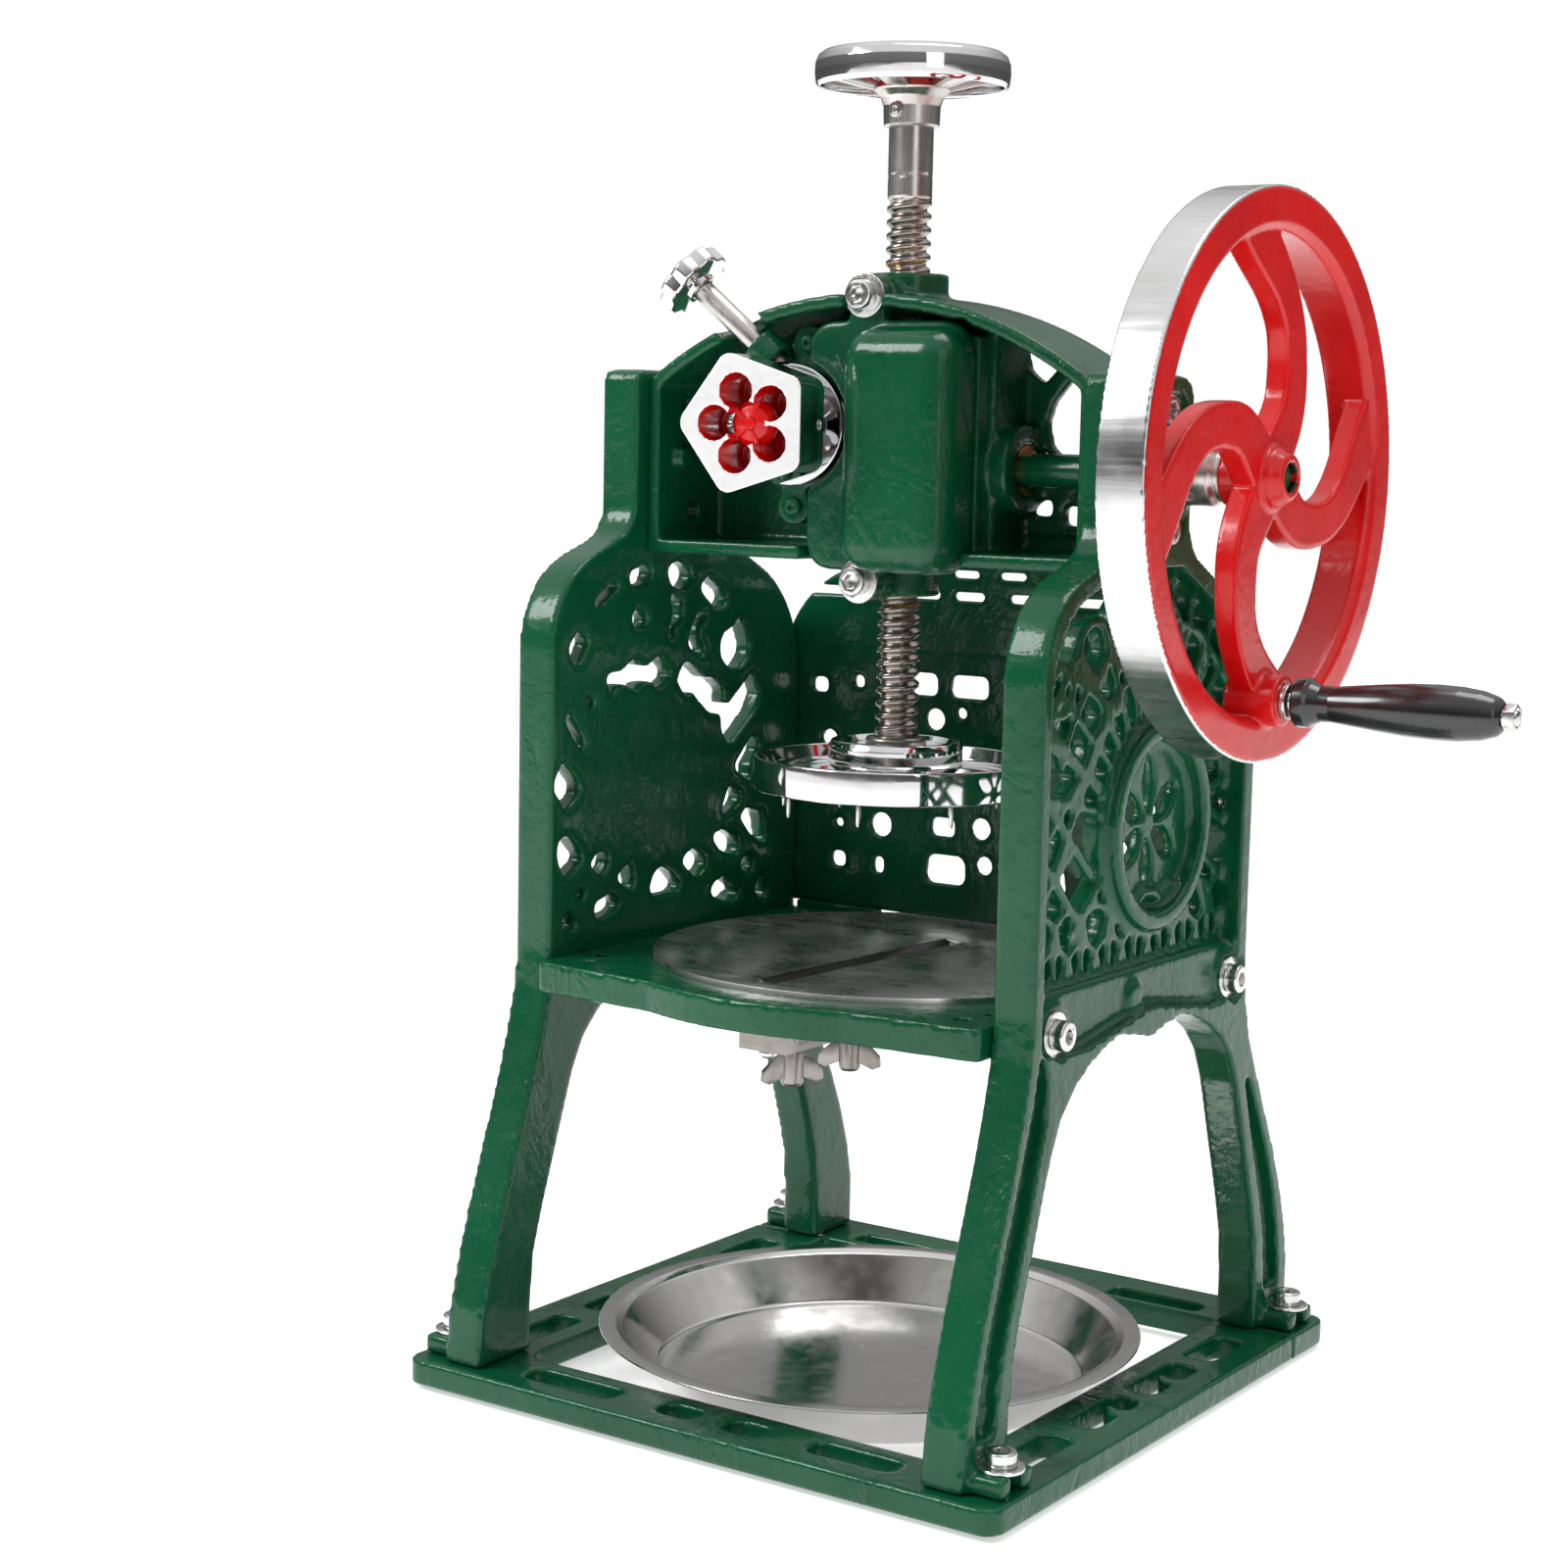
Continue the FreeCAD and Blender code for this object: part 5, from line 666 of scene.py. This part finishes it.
# handwheel: a chromed shell open below, bare hub with five spokes, red enamel inside
rim = lathe("handwheel_rim", rounded([(40.7, 590.0), (40.9, 587.9), (42.0, 587.3), (43.2, 589.4), (43.7, 593.6), (43.5, 598.0), (42.2, 601.3), (39.6, 603.1),
                                      (36.4, 603.45), (34.5, 602.3), (34.2, 600.2), (35.4, 598.9), (38.6, 598.2), (40.5, 595.4), (40.7, 590.0)], 2.0, 5)[:-1],
            closed=True, steps=256)
finish_piece(rim, CHROME, "spindle", "chrome", "handwheel")
hub = lathe("handwheel_hub", rounded([(10.05, 570.6), (12, 570.6, 0.4), (12.5, 571.3, 0.4), (12.8, 579.6, 3), (14.2, 583.6, 3), (17.4, 586.4, 1.5), (17.6, 587.4, 0.4),
                                      (15, 590.2, 1), (14, 592.1, 0.5), (10.05, 592.1)], 0.4), closed=True, steps=128)
finish_piece(hub, SLEEVE, "spindle", "chrome")
for k in range(5):
    q = math.radians(-90 + 10 + 72 * k)
    rad, tan = Vector((math.cos(q), math.sin(q), 0)), Vector((-math.sin(q), math.cos(q), 0))
    pts = []
    for lo in (True, False):
        near, far = (586.2, 592.6) if lo else (590.4, 597.6)
        pts += [(14.5, -4.6, near), (40.2, -7.6, far), (40.2, 7.6, far), (14.5, 4.6, near)]
    spoke = prism("handwheel_spoke_%d" % k, [rad * r + tan * w + Vector((0, 0, z)) for r, w, z in pts], 1.0)
    finish_piece(spoke, SLEEVE, "spindle", "chrome")
dish = lathe("handwheel_red_dish", rounded([(13.6, 590.9), (24, 595.0, 4), (36.0, 598.9, 0.3), (36.0, 599.9, 0.3), (24, 596.4, 4), (13.6, 592.1)], 0.3),
             closed=True, steps=128)
finish_piece(dish, RED, "spindle", "red_and_steel")

# carried-over pieces, mostly inside the head
for node in NODES:
    ob = NODES[node]
    mat = {"crank_bushes": BRONZE, "spindle_bushes": BRONZE, "feed_shaft_bushes": BRONZE, "nut_thrust_rings": BRONZE,
           "bevel_gear": GEAR, "bevel_pinion": GEAR, "feed_nut": GEAR, "feed_shaft": GEAR, "drive_key": DULL, "shaft_key": DULL,
           "knob_set_screw": DULL, "brake_shoe": DULL}.get(node, BRIGHT)
    ob.data.materials.clear()
    ob.data.materials.append(mat)

# ---------------------------------------------------------------- floor, light, camera


def plane(name, cx, cy, z, sx, sy):
    me = bpy.data.meshes.new(name)
    me.from_pydata([(cx - sx, cy - sy, z), (cx + sx, cy - sy, z), (cx + sx, cy + sy, z), (cx - sx, cy + sy, z)], [], [(0, 1, 2, 3)])
    return new_object(name, me)


floor = plane("floor", 0, 0, 0, 6, 6)
fm, fnt, fb = material("floor_white")
feed_to(fnt, fb.inputs["Base Color"], ramp(fnt, noise_node(fnt, 3.0, 2.0), [(0.3, (0.93, 0.93, 0.93)), (0.7, (0.95, 0.95, 0.95))]))
fb.inputs["Roughness"].default_value = 0.6
fb.inputs["Specular IOR Level"].default_value = 0.2
fb.inputs["Emission Color"].default_value = (1, 1, 1, 1)
fb.inputs["Emission Strength"].default_value = 0.5
floor.data.materials.append(fm)

world = bpy.data.worlds.new("studio")
scene.world = world
world.use_nodes = True
wnt = world.node_tree
wnt.nodes.clear()
w_out = wnt.nodes.new("ShaderNodeOutputWorld")
w_mix = wnt.nodes.new("ShaderNodeMixShader")
w_path = wnt.nodes.new("ShaderNodeLightPath")
w_white = wnt.nodes.new("ShaderNodeBackground")
w_white.inputs[1].default_value = 1.0
w_white.inputs[0].default_value = (1, 1, 1, 1)
w_room = wnt.nodes.new("ShaderNodeBackground")
w_room.inputs[1].default_value = 1.0
w_tc = wnt.nodes.new("ShaderNodeTexCoord")
w_sep = wnt.nodes.new("ShaderNodeSeparateXYZ")
wnt.links.new(w_tc.outputs["Generated"], w_sep.inputs[0])
shade = ramp(wnt, map_range(wnt, w_sep.outputs[2], -1.0, 1.0, 0.0, 1.0),
             [(0.0, (0.5, 0.5, 0.5)), (0.5, (0.10, 0.10, 0.10)), (0.56, (0.08, 0.08, 0.08)), (0.66, (0.30, 0.30, 0.30)), (0.85, (0.85, 0.85, 0.85)), (1.0, (1, 1, 1))])
wnt.links.new(shade, w_room.inputs[0])
wnt.links.new(w_path.outputs["Is Camera Ray"], w_mix.inputs[0])
wnt.links.new(w_room.outputs[0], w_mix.inputs[1])
wnt.links.new(w_white.outputs[0], w_mix.inputs[2])
wnt.links.new(w_mix.outputs[0], w_out.inputs[0])


def area(name, at, to, size, power, size_y=None):
    li = bpy.data.lights.new(name, "AREA")
    li.shape = "RECTANGLE"
    li.size = size
    li.size_y = size_y or size
    li.energy = power
    ob = bpy.data.objects.new(name, li)
    scene.collection.objects.link(ob)
    ob.location = at
    ob.rotation_euler = (Vector(to) - Vector(at)).to_track_quat("-Z", "Y").to_euler()
    return ob


area("key", (-1.3, -1.5, 1.7), (0, 0, 0.3), 0.9, 34)
area("fill", (1.9, -1.2, 1.0), (0.05, 0, 0.3), 0.8, 5, 1.4)
area("top", (0.2, 0.3, 2.2), (0, 0, 0.3), 1.0, 15)

yaw, pitch, roll = math.radians(34.39), math.radians(7.01), math.radians(1.18)
focal, tx, ty, dist = 2889.6, 114.5, 54.29, 1296.3
back = Vector((math.sin(yaw) * math.cos(pitch), -math.cos(yaw) * math.cos(pitch), math.sin(pitch)))
fwd = -back
right = Vector((math.cos(yaw), math.sin(yaw), 0))
up = right.cross(fwd)
R = math.cos(roll) * right + math.sin(roll) * up
U = -math.sin(roll) * right + math.cos(roll) * up
F = fwd
C = Vector((0, 0, 300)) - F * dist - R * (tx * dist / focal) - U * (ty * dist / focal)
cam_data = bpy.data.cameras.new("camera")
cam_data.sensor_fit = "HORIZONTAL"
cam_data.sensor_width = 36.0
cam_data.lens = focal * 36.0 / 1600.0
cam_data.clip_start = 0.05
cam_data.clip_end = 30
cam = bpy.data.objects.new("camera", cam_data)
scene.collection.objects.link(cam)
cam.matrix_world = Matrix(((R.x, U.x, -F.x, C.x * MM), (R.y, U.y, -F.y, C.y * MM), (R.z, U.z, -F.z, C.z * MM), (0, 0, 0, 1)))
scene.camera = cam
scene.view_settings.view_transform = "Standard"
